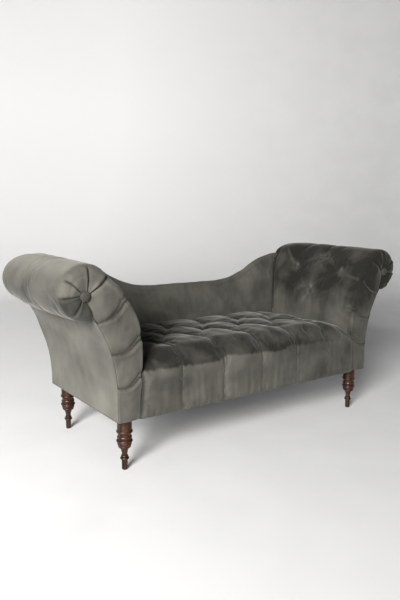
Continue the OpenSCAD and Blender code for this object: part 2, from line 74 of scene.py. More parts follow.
# Seat tufting: distance between buttons in a row, between rows, and the front row's place
TUFT_PITCH = 0.221
TUFT_ROW = 0.137
TUFT_FRONT_Y = FRONT + 0.167
BUTTON_R = 0.012
BUTTON_RISE = 0.009

# Arm tufting: angle up the inner arc in degrees, and place along the depth
ARM_TUFTS = {"low": (18.5, 0.0), "front": (33.4, -0.162), "rear": (33.4, 0.162), "top": (47.3, 0.0)}

# Scroll rosette
ROSETTE_X = SCROLL_X + 0.009
ROSETTE_Z = SCROLL_Z - 0.011
ROSETTE_R = 0.0195
ROSETTE_RISE = 0.013

SIDE_NAMES = {-1: "left", 1: "right"}
# How far in front of the rear the pieces end that the rear panel covers
REAR_GAP = 0.002


# ---------- outlines ----------

depth = REAR - FRONT
# The outer panels run on this far up behind the scrolls
PANEL_TUCK = 0.028
# How far the inside of an outer panel is behind its plain section
PANEL_INSIDE = 0.0025
waist_to_scroll = SCROLL_X - WAIST_X
waist_to_top = SCROLL_Z - WAIST_Z
inner_r = (waist_to_scroll**2 + waist_to_top**2 - SCROLL_R**2) / (2 * (waist_to_scroll - SCROLL_R))
inner_x = WAIST_X + inner_r
foot_r = (FOOT_TAPER**2 + (WAIST_Z - BODY_Z) ** 2) / (2 * FOOT_TAPER)
# Angle at which the inner arc runs into the scroll, measured up from the waist
tangent_a = math.atan2(waist_to_top, inner_x - SCROLL_X)
foot_len = foot_r * math.asin((WAIST_Z - BODY_Z) / foot_r)
inner_len = inner_r * tangent_a
sweep_x = BASE_HALF + SWEEP_R
sweep_z = BODY_Z + SWEEP_RISE


def scroll_meets_sweep():
    """Where the scroll's underside meets the outer face, in the x-z plane."""
    dx, dz = SCROLL_X - sweep_x, SCROLL_Z - sweep_z
    apart = math.hypot(dx, dz)
    along = (apart**2 + SWEEP_R**2 - SCROLL_R**2) / (2 * apart)
    aside = math.sqrt(SWEEP_R**2 - along**2)
    ux, uz = dx / apart, dz / apart
    return sweep_x + along * ux - aside * uz, sweep_z + along * uz + aside * ux


join_x, join_z = scroll_meets_sweep()
join_a = math.atan2(join_z - SCROLL_Z, join_x - SCROLL_X)
scroll_len = SCROLL_R * (math.pi - tangent_a - join_a)
arm_len = foot_len + inner_len + scroll_len
outer_len = SWEEP_RISE + SWEEP_R * math.asin((join_z - sweep_z) / SWEEP_R)


def arm_profile(s):
    """Points and outward normals of the right arm's section, s along it from the foot round the scroll."""
    s = np.asarray(s, float)
    on_foot = s < foot_len
    on_scroll = s > foot_len + inner_len
    rise = (s - foot_len) / np.where(on_foot, foot_r, inner_r)
    turn = math.pi - tangent_a - (s - foot_len - inner_len) / SCROLL_R
    nx = np.where(on_scroll, np.cos(turn), -np.cos(rise))
    nz = np.where(on_scroll, np.sin(turn), np.sin(rise))
    cx = np.where(on_scroll, SCROLL_X, np.where(on_foot, WAIST_X + foot_r, inner_x))
    cz = np.where(on_scroll, SCROLL_Z, WAIST_Z)
    r = np.where(on_scroll, SCROLL_R, np.where(on_foot, foot_r, inner_r))
    return cx + r * nx, cz + r * nz, nx, nz


def outer_profile(q):
    """Points and outward normals of the right arm's outer face, q along it from the bottom."""
    q = np.asarray(q, float)
    turn = np.maximum(q - SWEEP_RISE, 0) / SWEEP_R
    x = sweep_x - SWEEP_R * np.cos(turn)
    z = np.where(q < SWEEP_RISE, BODY_Z + q, sweep_z + SWEEP_R * np.sin(turn))
    return x, z, np.cos(turn), -np.sin(turn)


def at_height(z):
    """Length along the arm's section where its seat side has that height."""
    if z < WAIST_Z:
        return foot_len - foot_r * math.asin((WAIST_Z - z) / foot_r)
    return foot_len + inner_r * math.asin((z - WAIST_Z) / inner_r)


def at_outer_height(z):
    """Length along the outer face at that height."""
    return z - BODY_Z if z < sweep_z else SWEEP_RISE + SWEEP_R * math.asin((z - sweep_z) / SWEEP_R)


def at_scroll_angle(degrees):
    """Length along the arm's section at that angle round the scroll, 90 being its top."""
    return foot_len + inner_len + SCROLL_R * (math.pi - tangent_a - math.radians(degrees))


def seat_half(z):
    """Half of the seat's width between the arms at height z."""
    x = WAIST_X + foot_r - np.sqrt(foot_r**2 - (WAIST_Z - np.asarray(z, float)) ** 2)
    return x + 0.006


OGEE_START = 0.200
OGEE_RUN = 0.500
OGEE_RISE = 0.140
BACK_Z = BODY_Z + 0.428
ogee_r = (OGEE_RUN**2 + OGEE_RISE**2) / (4 * OGEE_RISE)


def back_top(x):
    """Height of the back's top edge at x."""
    a = np.abs(x) - OGEE_START
    low = BACK_Z + ogee_r - np.sqrt(ogee_r**2 - np.clip(a, 0, OGEE_RUN / 2) ** 2)
    high = BACK_Z + OGEE_RISE - ogee_r + np.sqrt(ogee_r**2 - (np.maximum(a, OGEE_RUN / 2) - OGEE_RUN) ** 2)
    return np.where(a < OGEE_RUN / 2, low, high)


# ---------- shaping tools ----------


def graded(start, end, marks, coarse, fine, reach):
    """Values from start to end, coarse apart, closing up to fine apart within reach of each mark."""
    t = np.linspace(start, end, 4001)
    density = np.full(t.shape, 1 / coarse)
    for m in marks:
        density = np.maximum(density, 1 / fine * bell(t - m, reach))
    total = np.concatenate([[0], np.cumsum((density[1:] + density[:-1]) / 2 * np.diff(t))])
    steps = int(math.ceil(total[-1]))
    return np.interp(np.linspace(0, total[-1], steps + 1), total, t)


def waves(u, v, pitch, seed, parts=14):
    """Smooth unevenness of about unit height over u and v, with swells about pitch long."""
    rng = np.random.default_rng(seed)
    total = 0
    for _ in range(parts):
        a = rng.uniform(0, 2 * math.pi)
        k = 2 * math.pi / (pitch * rng.uniform(0.7, 1.6))
        total = total + np.sin(k * (u * math.cos(a) + v * math.sin(a)) + rng.uniform(0, 2 * math.pi))
    return total / math.sqrt(parts)


def points(x, y, z):
    """An array of points from coordinates that broadcast together."""
    return np.stack(np.broadcast_arrays(x, y, z), axis=-1)


def smooth(t):
    """0 below 0, 1 above 1, and an easy curve between."""
    t = np.clip(t, 0, 1)
    return t * t * (3 - 2 * t)


def fall(distance, reach):
    """1 at distance 0 with a crease there, rounding out to 0 at reach."""
    return (1 - np.clip(distance / reach, 0, 1)) ** 2


def bell(distance, width):
    """1 at distance 0, falling off smoothly to both sides."""
    return np.exp(-((distance / width) ** 2))


def ridge(distance, width):
    """1 at distance 0, in a sharp line, falling off to both sides."""
    return np.exp(-np.abs(distance) / width)


def to_segment(u, v, a, b):
    """Distance of the points (u, v) from the segment a-b, the share of the way along it, and the side."""
    du, dv = b[0] - a[0], b[1] - a[1]
    length = math.hypot(du, dv)
    t = np.clip(((u - a[0]) * du + (v - a[1]) * dv) / length**2, 0, 1)
    distance = np.hypot(u - a[0] - t * du, v - a[1] - t * dv)
    side = ((u - a[0]) * dv - (v - a[1]) * du) / length
    return distance, t, side


def tufting(u, v, folds, dimples, reach):
    """How far tufted cloth is drawn in at the points (u, v), and how deep in a crease each is, 0 to 1, which
    is also painted as shade.

    A fold is (start, end, depth at start, in the middle, at end), and a dimple (u, v, depth, radius).
    """
    total = np.zeros(np.broadcast(u, v).shape)
    crease = np.zeros(total.shape)
    lip = np.zeros(total.shape)
    for a, b, deep_a, deep_mid, deep_b in folds:
        d, t, side = to_segment(u, v, a, b)
        depth = deep_mid + (deep_a - deep_mid) * (1 - np.minimum(2 * t, 1)) ** 2
        depth = depth + (deep_b - deep_mid) * np.maximum(2 * t - 1, 0) ** 2
        total += (depth * fall(d, reach)) ** 3
        strength = np.minimum(depth / 0.008, 1)
        crease = np.maximum(crease, bell(d, 0.0045) * strength)
        # The cloth is laid over itself on one side of the fold
        beside = bell(side - 0.0065, 0.0038) * (d < 0.02)
        lip = np.maximum(lip, beside * strength * np.sin(math.pi * np.clip(t, 0.06, 0.94)))
    total = np.cbrt(np.maximum(total, 0))
    for bu, bv, depth, radius in dimples:
        r = np.hypot(u - bu, v - bv)
        total = total + depth * fall(r, radius)
        crease = np.maximum(crease, bell(r, 0.016))
    return total + 0.0024 * crease - 0.0016 * lip, crease


def puckers(u, v, dimples, seed, height=0.0016):
    """Small pleats that radiate from each button."""
    rng = np.random.default_rng(seed)
    total = np.zeros(np.broadcast(u, v).shape)
    for bu, bv, _, _ in dimples:
        r = np.hypot(u - bu, v - bv)
        a = np.arctan2(v - bv, u - bu)
        ripple = np.zeros(total.shape)
        for count in (7, 11):
            ripple += np.cos(count * a + rng.uniform(0, 2 * math.pi)) / 2
        total += height * ripple * bell(r - 0.026, 0.016)
    return total


def between(grid, rows, columns, u, v):
    """Values of a coarse grid, given at rows and columns, at the points (u, v)."""
    i = np.clip(np.searchsorted(rows, u) - 1, 0, len(rows) - 2)
    j = np.clip(np.searchsorted(columns, v) - 1, 0, len(columns) - 2)
    s = np.clip((u - rows[i]) / (rows[i + 1] - rows[i]), 0, 1)[..., None]
    t = np.clip((v - columns[j]) / (columns[j + 1] - columns[j]), 0, 1)[..., None]
    low = grid[i, j] * (1 - t) + grid[i, j + 1] * t
    high = grid[i + 1, j] * (1 - t) + grid[i + 1, j + 1] * t
    return low * (1 - s) + high * s


def add_object(name, data):
    """A new object in the scene."""
    added = bpy.data.objects.new(name, data)
    bpy.context.scene.collection.objects.link(added)
    return added


def quads(rows, around, joined=True):
    """Faces of a grid of points; joined, the end of each row meets its start."""
    steps = around if joined else around - 1
    i, j = np.meshgrid(np.arange(rows - 1), np.arange(steps), indexing="ij")
    k = (j + 1) % around
    corners = [i * around + j, i * around + k, (i + 1) * around + k, (i + 1) * around + j]
    return np.stack(corners, axis=-1).reshape(-1, 4)


def pinning(u, v, dimples, folds, edge):
    """How firmly cloth is pinned at its buttons, in its folds and near its edge, from 0 to 1.

    A fold is (start, end, how firmly it is pinned); edge is the distance of each point from the edge.
    """
    held = bell(edge, 0.015)
    for bu, bv, _, _ in dimples:
        held = np.maximum(held, bell(np.hypot(u - bu, v - bv), 0.020))
    for a, b, firmness in folds:
        held = np.maximum(held, firmness * bell(to_segment(u, v, a, b)[0], 0.012))
    return np.where(held < 0.02, 0, np.minimum(held, 1))


# The furthest that a point of the cloth may settle, its pressure, and how many steps it takes
SETTLE_CAP = 0.004
PRESSURE = 4.0
SETTLE_STEPS = 20


def relax(name, sheet, held, slack):
    """Lets a sheet of cloth settle under the padding's pressure and returns how far each point moves.

    sheet is an array (rows, columns, 3) with its normals outwards, held how firmly each point is pinned,
    and slack how much larger the cloth is than the sheet.
    """
    rows, columns, _ = sheet.shape
    mesh = bpy.data.meshes.new(name)
    mesh.from_pydata(sheet.reshape(-1, 3).tolist(), [], quads(rows, columns, joined=False).tolist())
    cloth = add_object(name, mesh)
    pins = cloth.vertex_groups.new(name="held")
    for k, weight in enumerate(held.ravel()):
        if weight > 0:
            pins.add([k], float(weight), "REPLACE")
    settings = cloth.modifiers.new("cloth", "CLOTH").settings
    settings.vertex_group_mass = "held"
    settings.quality = 6
    settings.mass = 0.3
    settings.tension_stiffness = 15
    settings.compression_stiffness = 15
    settings.shear_stiffness = 5
    settings.bending_stiffness = 0.6
    settings.shrink_min = -slack
    settings.use_pressure = True
    settings.uniform_pressure_force = PRESSURE
    settings.effector_weights.gravity = 0
    scene = bpy.context.scene
    for step in range(1, SETTLE_STEPS + 1):
        scene.frame_set(step)
    settled = cloth.evaluated_get(bpy.context.evaluated_depsgraph_get())
    places = np.empty(rows * columns * 3)
    settled.data.vertices.foreach_get("co", places)
    bpy.data.objects.remove(cloth)
    bpy.data.meshes.remove(mesh)
    scene.frame_set(1)
    moved = places.reshape(sheet.shape) - sheet
    length = np.linalg.norm(moved, axis=-1, keepdims=True)
    return moved * np.minimum(1, SETTLE_CAP / np.maximum(length, 1e-9))


def ring_faces(count, around, first=0):
    """Faces of a closed skin over rings of points, of which the first has the number first."""
    faces = (first + quads(count, around)).tolist()
    faces.append([first + j for j in range(around)][::-1])
    faces.append([first + (count - 1) * around + j for j in range(around)])
    return faces


def closed_piece(name, verts, faces):
    """A smooth-shaded closed piece with its normals outwards."""
    mesh = bpy.data.meshes.new(name)
    mesh.from_pydata(verts, [], faces)
    work = bmesh.new()
    work.from_mesh(mesh)
    bmesh.ops.recalc_face_normals(work, faces=work.faces[:])
    work.to_mesh(mesh)
    work.free()
    mesh.polygons.foreach_set("use_smooth", [True] * len(mesh.polygons))
    return add_object(name, mesh)


def ring_mesh(name, rings):
    """A closed piece with a skin through rings of points, an array (rings, points of a ring, 3)."""
    count, around, _ = rings.shape
    piece = closed_piece(name, rings.reshape(-1, 3).tolist(), ring_faces(count, around))
    piece.data.set_sharp_from_angle(angle=math.radians(70))
    return piece


def painted_fold_highlight(crease):
    """Painted highlight: how much paler the velvet is painted on both sides of a crease, where the nap
    stands up.
    """
    return 1.4 * crease * (1 - crease)


# Some rings end with two points on the inside of a piece, never seen, where the painted crease shade and the
# nap's painted light are 0
INSIDE = ((0, 0), (0, 2))


def finish_piece(piece, crease, nap, replaced, slot="velvet"):
    """Covers a piece in velvet, with painted shade in its creases and the nap's painted tone and sheen;
    parents it to the root body and hides the parts it replaces.
    """
    for name, values in (("crease", crease), ("nap", nap)):
        layer = piece.data.attributes.new(name, "FLOAT", "POINT")
        layer.data.foreach_set("value", np.asarray(values, np.float32).ravel())
    piece.data.materials.append(VELVET)
    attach(piece, "root")
    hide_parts(*replaced)


# ---------- materials ----------


def feed(node, inputs):
    """Sets a node's inputs, by name or number, to values or to the outputs of other nodes."""
    for key, value in inputs.items():
        if isinstance(value, bpy.types.NodeSocket):
            node.id_data.links.new(value, node.inputs[key])
        else:
            node.inputs[key].default_value = value


def add_node(tree, kind, inputs, **settings):
    """A new shader node with its settings and inputs."""
    node = tree.nodes.new("ShaderNode" + kind)
    for name, value in settings.items():
        setattr(node, name, value)
    feed(node, inputs)
    return node


def new_material(name):
    """A material, its node tree and its Principled shader."""
    material = bpy.data.materials.new(name)
    material.use_nodes = True
    return material, material.node_tree, material.node_tree.nodes["Principled BSDF"]


def place(tree, scale):
    """Object coordinates in metres, times scale."""
    coordinates = add_node(tree, "TexCoord", {}).outputs["Object"]
    return add_node(tree, "Mapping", {"Vector": coordinates, "Scale": scale}).outputs["Vector"]


def noise(tree, scale, detail=2.0, stretch=(1, 1, 1), distortion=0.0):
    """The value of a noise texture."""
    inputs = {"Vector": place(tree, stretch), "Scale": scale, "Detail": detail, "Distortion": distortion}
    return add_node(tree, "TexNoise", inputs).outputs["Fac"]


def ramp(value, low, high, bottom=0.0, top=1.0):
    """Maps low..high to bottom..top, clamped."""
    inputs = {"Value": value, "From Min": low, "From Max": high, "To Min": bottom, "To Max": top}
    return add_node(value.id_data, "MapRange", inputs).outputs["Result"]


def mix_colour(factor, a, b):
    """Mixes two colours, each one a socket or a plain colour, by the value of a socket."""
    a, b = (value if isinstance(value, bpy.types.NodeSocket) else (*value, 1) for value in (a, b))
    # A Mix node has its factor at input 0, and its two colours at 6 and 7
    return add_node(factor.id_data, "Mix", {0: factor, 6: a, 7: b}, data_type="RGBA").outputs[2]


def combine(operation, a, b):
    """Arithmetic on the value of a socket and another one or a number."""
    return add_node(a.id_data, "Math", {0: a, 1: b}, operation=operation).outputs[0]


def weigh(a, share_a, b, share_b):
    """The sum of two values, each times its share."""
    parts = [combine("MULTIPLY", value, share) for value, share in ((a, share_a), (b, share_b))]
    return combine("ADD", *parts)


def bump(shader, height, strength, distance):
    """Drives the shader's normal from a height."""
    node = add_node(shader.id_data, "Bump", {"Height": height, "Strength": strength, "Distance": distance})
    feed(shader, {"Normal": node.outputs["Normal"]})


def attribute(tree, name):
    """A value stored on the mesh's points."""
    return add_node(tree, "Attribute", {}, attribute_name=name).outputs["Fac"]


# How pale the velvet is painted, from 0, where it is all VELVET_DARK, to the first value below, where it is
# all
# VELVET_LIGHT: its random tone and the nap's painted sheen and shade, pieces set paler or darker for how the
# light falls
PALEST_TONE_AND_LIGHT = 1.6
# Painted light on the left arm and painted shade on the right arm, for the nap laid outwards over both
LEFT_ARM_PAINTED_LIGHT = 0.72
RIGHT_ARM_PAINTED_SHADE = 0.03
# Levels of the outer panels, the back, the rear panel and the buttons: their tone, each set paler or darker
# for how the light falls on it
PANEL_TONE_AND_LIGHT = 0.72
BACK_TONE_AND_LIGHT = 0.52
REAR_TONE_AND_LIGHT = 0.5
BUTTON_TONE_AND_LIGHT = 0.24
# Painted shade on the seat's top and painted light on its front
SEAT_TOP_PAINTED_SHADE = 0.02
SEAT_FRONT_PAINTED_LIGHT = 0.53

# The velvet's colours: its darkest and its palest tone, and the colour of the painted shade down in a fold,
# which also darkens the fine pile at random
VELVET_DARK = (0.008, 0.008, 0.0062)
VELVET_LIGHT = (0.1397, 0.1354, 0.1161)
VELVET_PILE_AND_FOLD_SHADE = (0.005, 0.005, 0.004)
WALNUT_DARK = (0.006, 0.0023, 0.0011)
WALNUT_LIGHT = (0.037, 0.0135, 0.0045)
WALNUT_PORE = (0.010, 0.004, 0.002)
WALNUT_STAIN = (0.008, 0.003, 0.002)


def velvet():
    """Taupe-grey velvet: brushed patches, fine pile, painted shade in the folds, the nap's painted light and
    shade, pale at a glancing angle.
    """
    material, tree, shader = new_material("velvet")
    patches = ramp(noise(tree, 6.5, 4.0, (1, 1, 1.3), 1.2), 0.36, 0.66, -0.5, 0.5)
    strokes = ramp(noise(tree, 26.0, 5.0, (1, 1, 0.35), 0.8), 0.35, 0.68, -0.5, 0.5)
    pile = noise(tree, 1400.0)
    # The nap value stored on the mesh, painted light and shade, with random brushed patches over it, picks
    # the colour
    nap = combine("ADD", attribute(tree, "nap"), weigh(patches, 0.20, strokes, 0.14))
    # Painted shade down in the folds, from the crease value stored on the mesh
    painted_fold_shade = combine("MULTIPLY", attribute(tree, "crease"), 0.80)
    colour = mix_colour(ramp(nap, 0.0, PALEST_TONE_AND_LIGHT), VELVET_DARK, VELVET_LIGHT)
    colour = mix_colour(ramp(pile, 0.3, 0.7, 0.0, 0.30), colour, VELVET_PILE_AND_FOLD_SHADE)
    shine = {
        "Base Color": mix_colour(painted_fold_shade, colour, VELVET_PILE_AND_FOLD_SHADE),
        "Roughness": ramp(nap, 0.0, 1.0, 0.92, 0.74),
        "Specular IOR Level": 0.15,
        "Sheen Weight": 0.13,
        "Sheen Roughness": 0.42,
        "Sheen Tint": (0.90, 0.89, 0.83, 1),
    }
    feed(shader, shine)
    bump(shader, weigh(pile, 0.5, strokes, 0.6), 0.35, 0.0006)
    return material


def walnut():
    """Dark walnut, turned and polished: streaked grain along the leg, stain gathered in the grooves."""
    material, tree, shader = new_material("walnut")
    grain = noise(tree, 90.0, 6.0, (1, 1, 0.06), 0.6)
    pores = noise(tree, 520.0, 3.0, (1, 1, 0.05))
    hollow = add_node(tree, "AmbientOcclusion", {"Distance": 0.010}, samples=8).outputs["AO"]
    colour = mix_colour(ramp(grain, 0.35, 0.65), WALNUT_DARK, WALNUT_LIGHT)
    colour = mix_colour(ramp(pores, 0.55, 0.72, 0.0, 0.6), colour, WALNUT_PORE)
    shine = {
        "Base Color": mix_colour(ramp(hollow, 0.25, 0.85, 0.75, 0.0), colour, WALNUT_STAIN),
        "Roughness": ramp(grain, 0.3, 0.7, 0.30, 0.42),
        "Specular IOR Level": 0.22,
        "Coat Weight": 0.10,
        "Coat Roughness": 0.12,
    }
    feed(shader, shine)
    bump(shader, pores, 0.25, 0.0004)
    return material


def timber():
    """Pale sawn beech of the hidden frame."""
    material, tree, shader = new_material("frame_timber")
    grain = noise(tree, 60.0, 5.0, (0.08, 1, 1), 0.7)
    colour = mix_colour(ramp(grain, 0.3, 0.7), (0.46, 0.30, 0.15), (0.68, 0.50, 0.29))
    feed(shader, {"Base Color": colour, "Roughness": ramp(grain, 0.3, 0.7, 0.6, 0.75)})
    bump(shader, grain, 0.2, 0.0005)
    return material


def metal(name, light, dark, roughness):
    """Plain steel with faint scuffs."""
    material, tree, shader = new_material(name)
    scuffs = noise(tree, 160.0, 4.0)
    colour = mix_colour(ramp(scuffs, 0.4, 0.7), light, dark)
    rough = ramp(scuffs, 0.3, 0.7, roughness, roughness + 0.2)
    feed(shader, {"Base Color": colour, "Roughness": rough, "Metallic": 1.0})
    return material


def woven(name, light, dark, pitch, roughness):
    """Coarse cloth of crossed threads, pitch apart."""
    material, tree, shader = new_material(name)
    threads = []
    for direction in ("X", "Y"):
        inputs = {"Vector": place(tree, (1, 1, 1)), "Scale": 0.314 / pitch, "Distortion": 1.2}
        threads.append(add_node(tree, "TexWave", inputs, bands_direction=direction).outputs["Fac"])
    value = weigh(combine("MULTIPLY", *threads), 0.7, noise(tree, 700.0), 0.3)
    colour = mix_colour(ramp(value, 0.1, 0.7), dark, light)
    feed(shader, {"Base Color": colour, "Roughness": roughness})
    bump(shader, value, 0.4, pitch * 0.3)
    return material


def plain(name, light, dark, scale, roughness):
    """A mottled plain finish, for foam and nylon."""
    material, tree, shader = new_material(name)
    mottle = noise(tree, scale, 4.0)
    colour = mix_colour(ramp(mottle, 0.35, 0.65), dark, light)
    feed(shader, {"Base Color": colour, "Roughness": roughness})
    bump(shader, mottle, 0.3, 0.0005)
    return material


VELVET = velvet()
FINISHES = {"velvet": VELVET, "velvet_button": VELVET, "walnut": walnut(), "frame_timber": timber()}
for maker, name, *details in (
    (metal, "zinc_steel", (0.62, 0.63, 0.65), (0.40, 0.41, 0.43), 0.3),
    (metal, "spring_steel", (0.30, 0.30, 0.31), (0.16, 0.16, 0.17), 0.35),
    (woven, "jute", (0.44, 0.34, 0.20), (0.22, 0.15, 0.08), 0.0024, 0.9),
    (plain, "twine", (0.60, 0.52, 0.38), (0.40, 0.33, 0.22), 900.0, 0.9),
    (plain, "foam", (0.80, 0.76, 0.62), (0.66, 0.61, 0.46), 400.0, 0.95),
    (woven, "dust_cloth", (0.030, 0.030, 0.032), (0.008, 0.008, 0.009), 0.0016, 0.95),
    (plain, "glide_nylon", (0.05, 0.045, 0.04), (0.03, 0.027, 0.024), 300.0, 0.5),
):
    FINISHES[name] = maker(name, *details)


def dress_frame():
    """Gives every CAD node the material of its slot."""
    slots = {part["node"]: part["material_slot"] for part in frame["record"]["subparts"]}
    for name, node in frame["nodes"].items():
        node.data.materials.clear()
        node.data.materials.append(FINISHES[slots[name]])


# ---------- seat ----------

back_face_y = seat_high.y
top_len = back_face_y - (FRONT + SEAT_EDGE_R)
edge_len = SEAT_EDGE_R * math.pi / 2
front_len = CROWN_Z - SEAT_EDGE_R - BODY_Z
seat_len = top_len + edge_len + front_len
# How deep the seat's folds are at the buttons and in the middle, and how much deeper the buttons are
SEAT_FOLD = 0.018
SEAT_FOLD_MIDDLE = 0.0105
SEAT_DIMPLE = 0.008
# How far from its folds the seat is drawn in
SEAT_REACH = 0.088
# Height on the front where the nap, brushed up from below, meets the nap of the top: the front below is
# painted pale as if lit, the top above is painted in shade
NAP_AND_SHADE_TURN_Z = 0.412


def seat_drop(x, y):
    """How far the seat's crown falls away towards the arms and towards the back."""
    towards_arm = smooth((np.abs(x) - 0.44) / 0.19)
    towards_back = smooth((y + 0.06) / 0.30)
    return 0.004 + 0.042 * towards_arm + 0.013 * towards_back


def seat_profile(p):
    """Depth, height and outward normal, p along the section from the back over the edge to the bottom."""
    turn = np.clip((p - top_len) / SEAT_EDGE_R, 0, math.pi / 2)
    y = back_face_y - np.minimum(p, top_len) - SEAT_EDGE_R * np.sin(turn)
    z = CROWN_Z - SEAT_EDGE_R * (1 - np.cos(turn)) - np.maximum(p - top_len - edge_len, 0)
    return y, z, -np.sin(turn), np.cos(turn)


def seat_tufts():
    """The seat's buttons as rows of (x, p), front row first."""
    rows = []
    for k, shift in ((0, 0.0), (1, 0.5), (2, 0.0)):
        p = back_face_y - (TUFT_FRONT_Y + k * TUFT_ROW)
        last = 1 if shift else 2
        rows.append([((i + shift) * TUFT_PITCH, p) for i in range(-2, last + 1)])
    return rows


def seat_folds():
    """The pleats between the seat's buttons and out to its edges."""
    front, middle, rear = seat_tufts()
    deep = SEAT_FOLD
    folds = []
    for row in (front, rear):
        for a in row:
            for b in middle:
                if abs(a[0] - b[0]) < TUFT_PITCH:
                    folds.append((a, b, deep, SEAT_FOLD_MIDDLE, deep))
    for side in (-1, 1):
        end = (side * 2.5 * TUFT_PITCH, middle[0][1])
        for row, aside in ((front, 0.10), (rear, -0.10)):
            folds.append(((side * 2 * TUFT_PITCH, row[0][1]), end, deep, 0.008, 0.006))
            folds.append((end, (side * SEAT_WALL_X, middle[0][1] + aside), 0.006, 0.004, 0.004))
    crown = top_len + 0.4 * edge_len
    below = top_len + edge_len + 0.03
    for x, p in front:
        folds.append(((x, p), (x, crown), deep, 0.012, 0.0105))
        folds.append(((x, crown), (x, below), 0.0105, 0.0075, 0.0045))
        folds.append(((x, below), (x, seat_len), 0.0045, 0.0036, 0.0028))
    for x, p in rear:
        folds.append(((x, p), (x, 0.0), deep, 0.011, 0.010))
    return folds


def seat_surface(x, p, rise):
    """Points of the seat's surface, x along it and p down its section, rise proud of its plain shape."""
    y, z, ny, nz = seat_profile(p)
    widen = smooth((np.abs(x) - 0.45) / 0.15) * (seat_half(z) - WAIST_X)
    share = np.clip((z - BODY_Z) / (CROWN_Z - BODY_Z), 0, 1)
    z = z - seat_drop(x, y) * share**1.5
    return points(x + np.sign(x) * widen, y + ny * rise, z + nz * rise)


def seat_settling(dimples):
    """How the seat's cloth settles, on a coarse grid, with the grid's rows and columns."""
    rows = np.linspace(0, seat_len, 84)
    columns = np.linspace(-WAIST_X, WAIST_X, 126)
    p, x = np.meshgrid(rows, columns, indexing="ij")
    drawn, _ = tufting(x, p, seat_folds(), dimples, SEAT_REACH)
    sheet = seat_surface(x, p, -drawn)
    folds = [(a, b, 0.55) for a, b, _, _, _ in seat_folds()]
    edge = np.minimum(np.minimum(p, seat_len - p), WAIST_X - np.abs(x))
    held = pinning(x, p, dimples, folds, edge)
    return relax("seat_cloth", sheet[:, ::-1], held[:, ::-1], 0.03)[:, ::-1], rows, columns


def build_seat():
    """The tufted seat: cover and padding as one closed piece, brought down over the rail in front."""
    pleats_x = [i * TUFT_PITCH for i in range(-2, 3)]
    button_rows = [row[0][1] for row in seat_tufts()]
    rows = graded(0, seat_len, button_rows + [top_len + edge_len * 0.3], 0.0046, 0.0034, 0.02)
    columns = graded(-WAIST_X, WAIST_X, pleats_x, 0.0046, 0.0016, 0.010)
    p, x = np.meshgrid(rows, columns, indexing="ij")
    dimples = [(bx, bp, SEAT_DIMPLE, 0.040) for row in seat_tufts() for bx, bp in row]
    drawn, crease = tufting(x, p, seat_folds(), dimples, SEAT_REACH)
    on_front = smooth((p - top_len - edge_len * 0.4) / 0.10)
    rise = 0.011 * on_front - drawn * (1 - 0.25 * on_front) + puckers(x, p, dimples, 11)
    rise += 0.0014 * waves(x, p, 0.09, 21) * (1 - on_front)
    # Loose upright ripples on the front, strongest near the bottom
    low_front = smooth((p - top_len - edge_len) / 0.12)
    rise += (0.0004 + 0.0006 * low_front) * waves(x * 3.2, p * 0.5, 0.11, 22) * on_front
    # Tucked in beside the arms, behind against the back, and under along the bottom
    _, z, _, _ = seat_profile(p)
    beside = WAIST_X - np.abs(x)
    rise -= (0.016 - 0.009 * on_front) * fall(beside, 0.028)
    rise -= 0.016 * fall(p, 0.035) + 0.004 * fall(seat_len - p, 0.010)
    # Painted shade in the tuck beside the arms
    crease = np.maximum(crease, bell(beside, 0.008))
    moved, coarse_rows, coarse_columns = seat_settling(dimples)
    outer = seat_surface(x, p, rise) + between(moved, coarse_rows, coarse_columns, p, x)
    outer[..., 2] = np.maximum(outer[..., 2], BODY_Z)
    # Inside of the padding: level over the springs, then down behind the front
    share = rows / seat_len
    under_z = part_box("seat_hessian")[1].z + 0.0015
    rail_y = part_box("front_seat_rail")[0].y - 0.0006
    turn_at = 0.70
    inner_y = np.interp(share, [0, turn_at, 1], [back_face_y, rail_y + 0.004, rail_y])
    inner_z = np.interp(share, [0, turn_at, 1], [under_z, under_z - 0.001, BODY_Z])
    right = points(seat_half(inner_z) - 0.006, inner_y, inner_z)[:, None]
    rings = np.concatenate([outer, right, right * (-1, 1, 1)], axis=1)
    piece = ring_mesh("tufted_seat", rings)
    # Painted light on the front below the nap's turn and painted shade on the top above it, the front's
    # painted light falling off towards the right
    turn_z = NAP_AND_SHADE_TURN_Z + 0.007 * waves(x, p * 0, 0.16, 23) + 0.002 * waves(x, p, 0.03, 24)
    brushed_up_and_lit = smooth((turn_z - outer[..., 2]) / 0.012 + 0.5)
    light_falloff = smooth((x + 0.15) / 0.60)
    # Painted shadow of the left arm at the seat's left end, and painted light growing towards the right
    nap = SEAT_TOP_PAINTED_SHADE + 0.12 * smooth((x + 0.45) / 0.30) + 0.10 * smooth(x / 0.50)
    nap += 0.10 * waves(x, p, 0.16, 25)
    nap += (SEAT_FRONT_PAINTED_LIGHT - 0.38 * light_falloff) * brushed_up_and_lit
    # Painted highlight beside the folds
    nap += 0.4 * painted_fold_highlight(crease)
    finish_piece(piece, *(np.pad(v, INSIDE) for v in (crease, nap)), ["seat_cover", "seat_pad"])


# ---------- arms ----------

# The back starts this high, hidden behind the seat
BACK_FOOT_Z = 0.430
# The back's front leans rearwards as it rises, and its top edge is a soft roll
BACK_LEAN = 0.038
BACK_ROLL = 0.030

# Radius where the sides of an arm turn into its front and its rear, on the stem and round the scroll
STEM_RIM = 0.014
FRONT_ROUND = 0.036
REAR_ROUND = 0.012
# Where the rounded rear ends of the arms stop, and how much lower each scroll is there than in its middle
ARM_END = REAR + 0.002
LEFT_DROOP = 0.018
RIGHT_DROOP = 0.004
# Pleats across the front of an arm: height at the seat side and at the outer edge
STEM_PLEATS = [(0.389, 0.361), (0.542, 0.498), (0.706, 0.624)]
PLEAT_BOW = 0.020
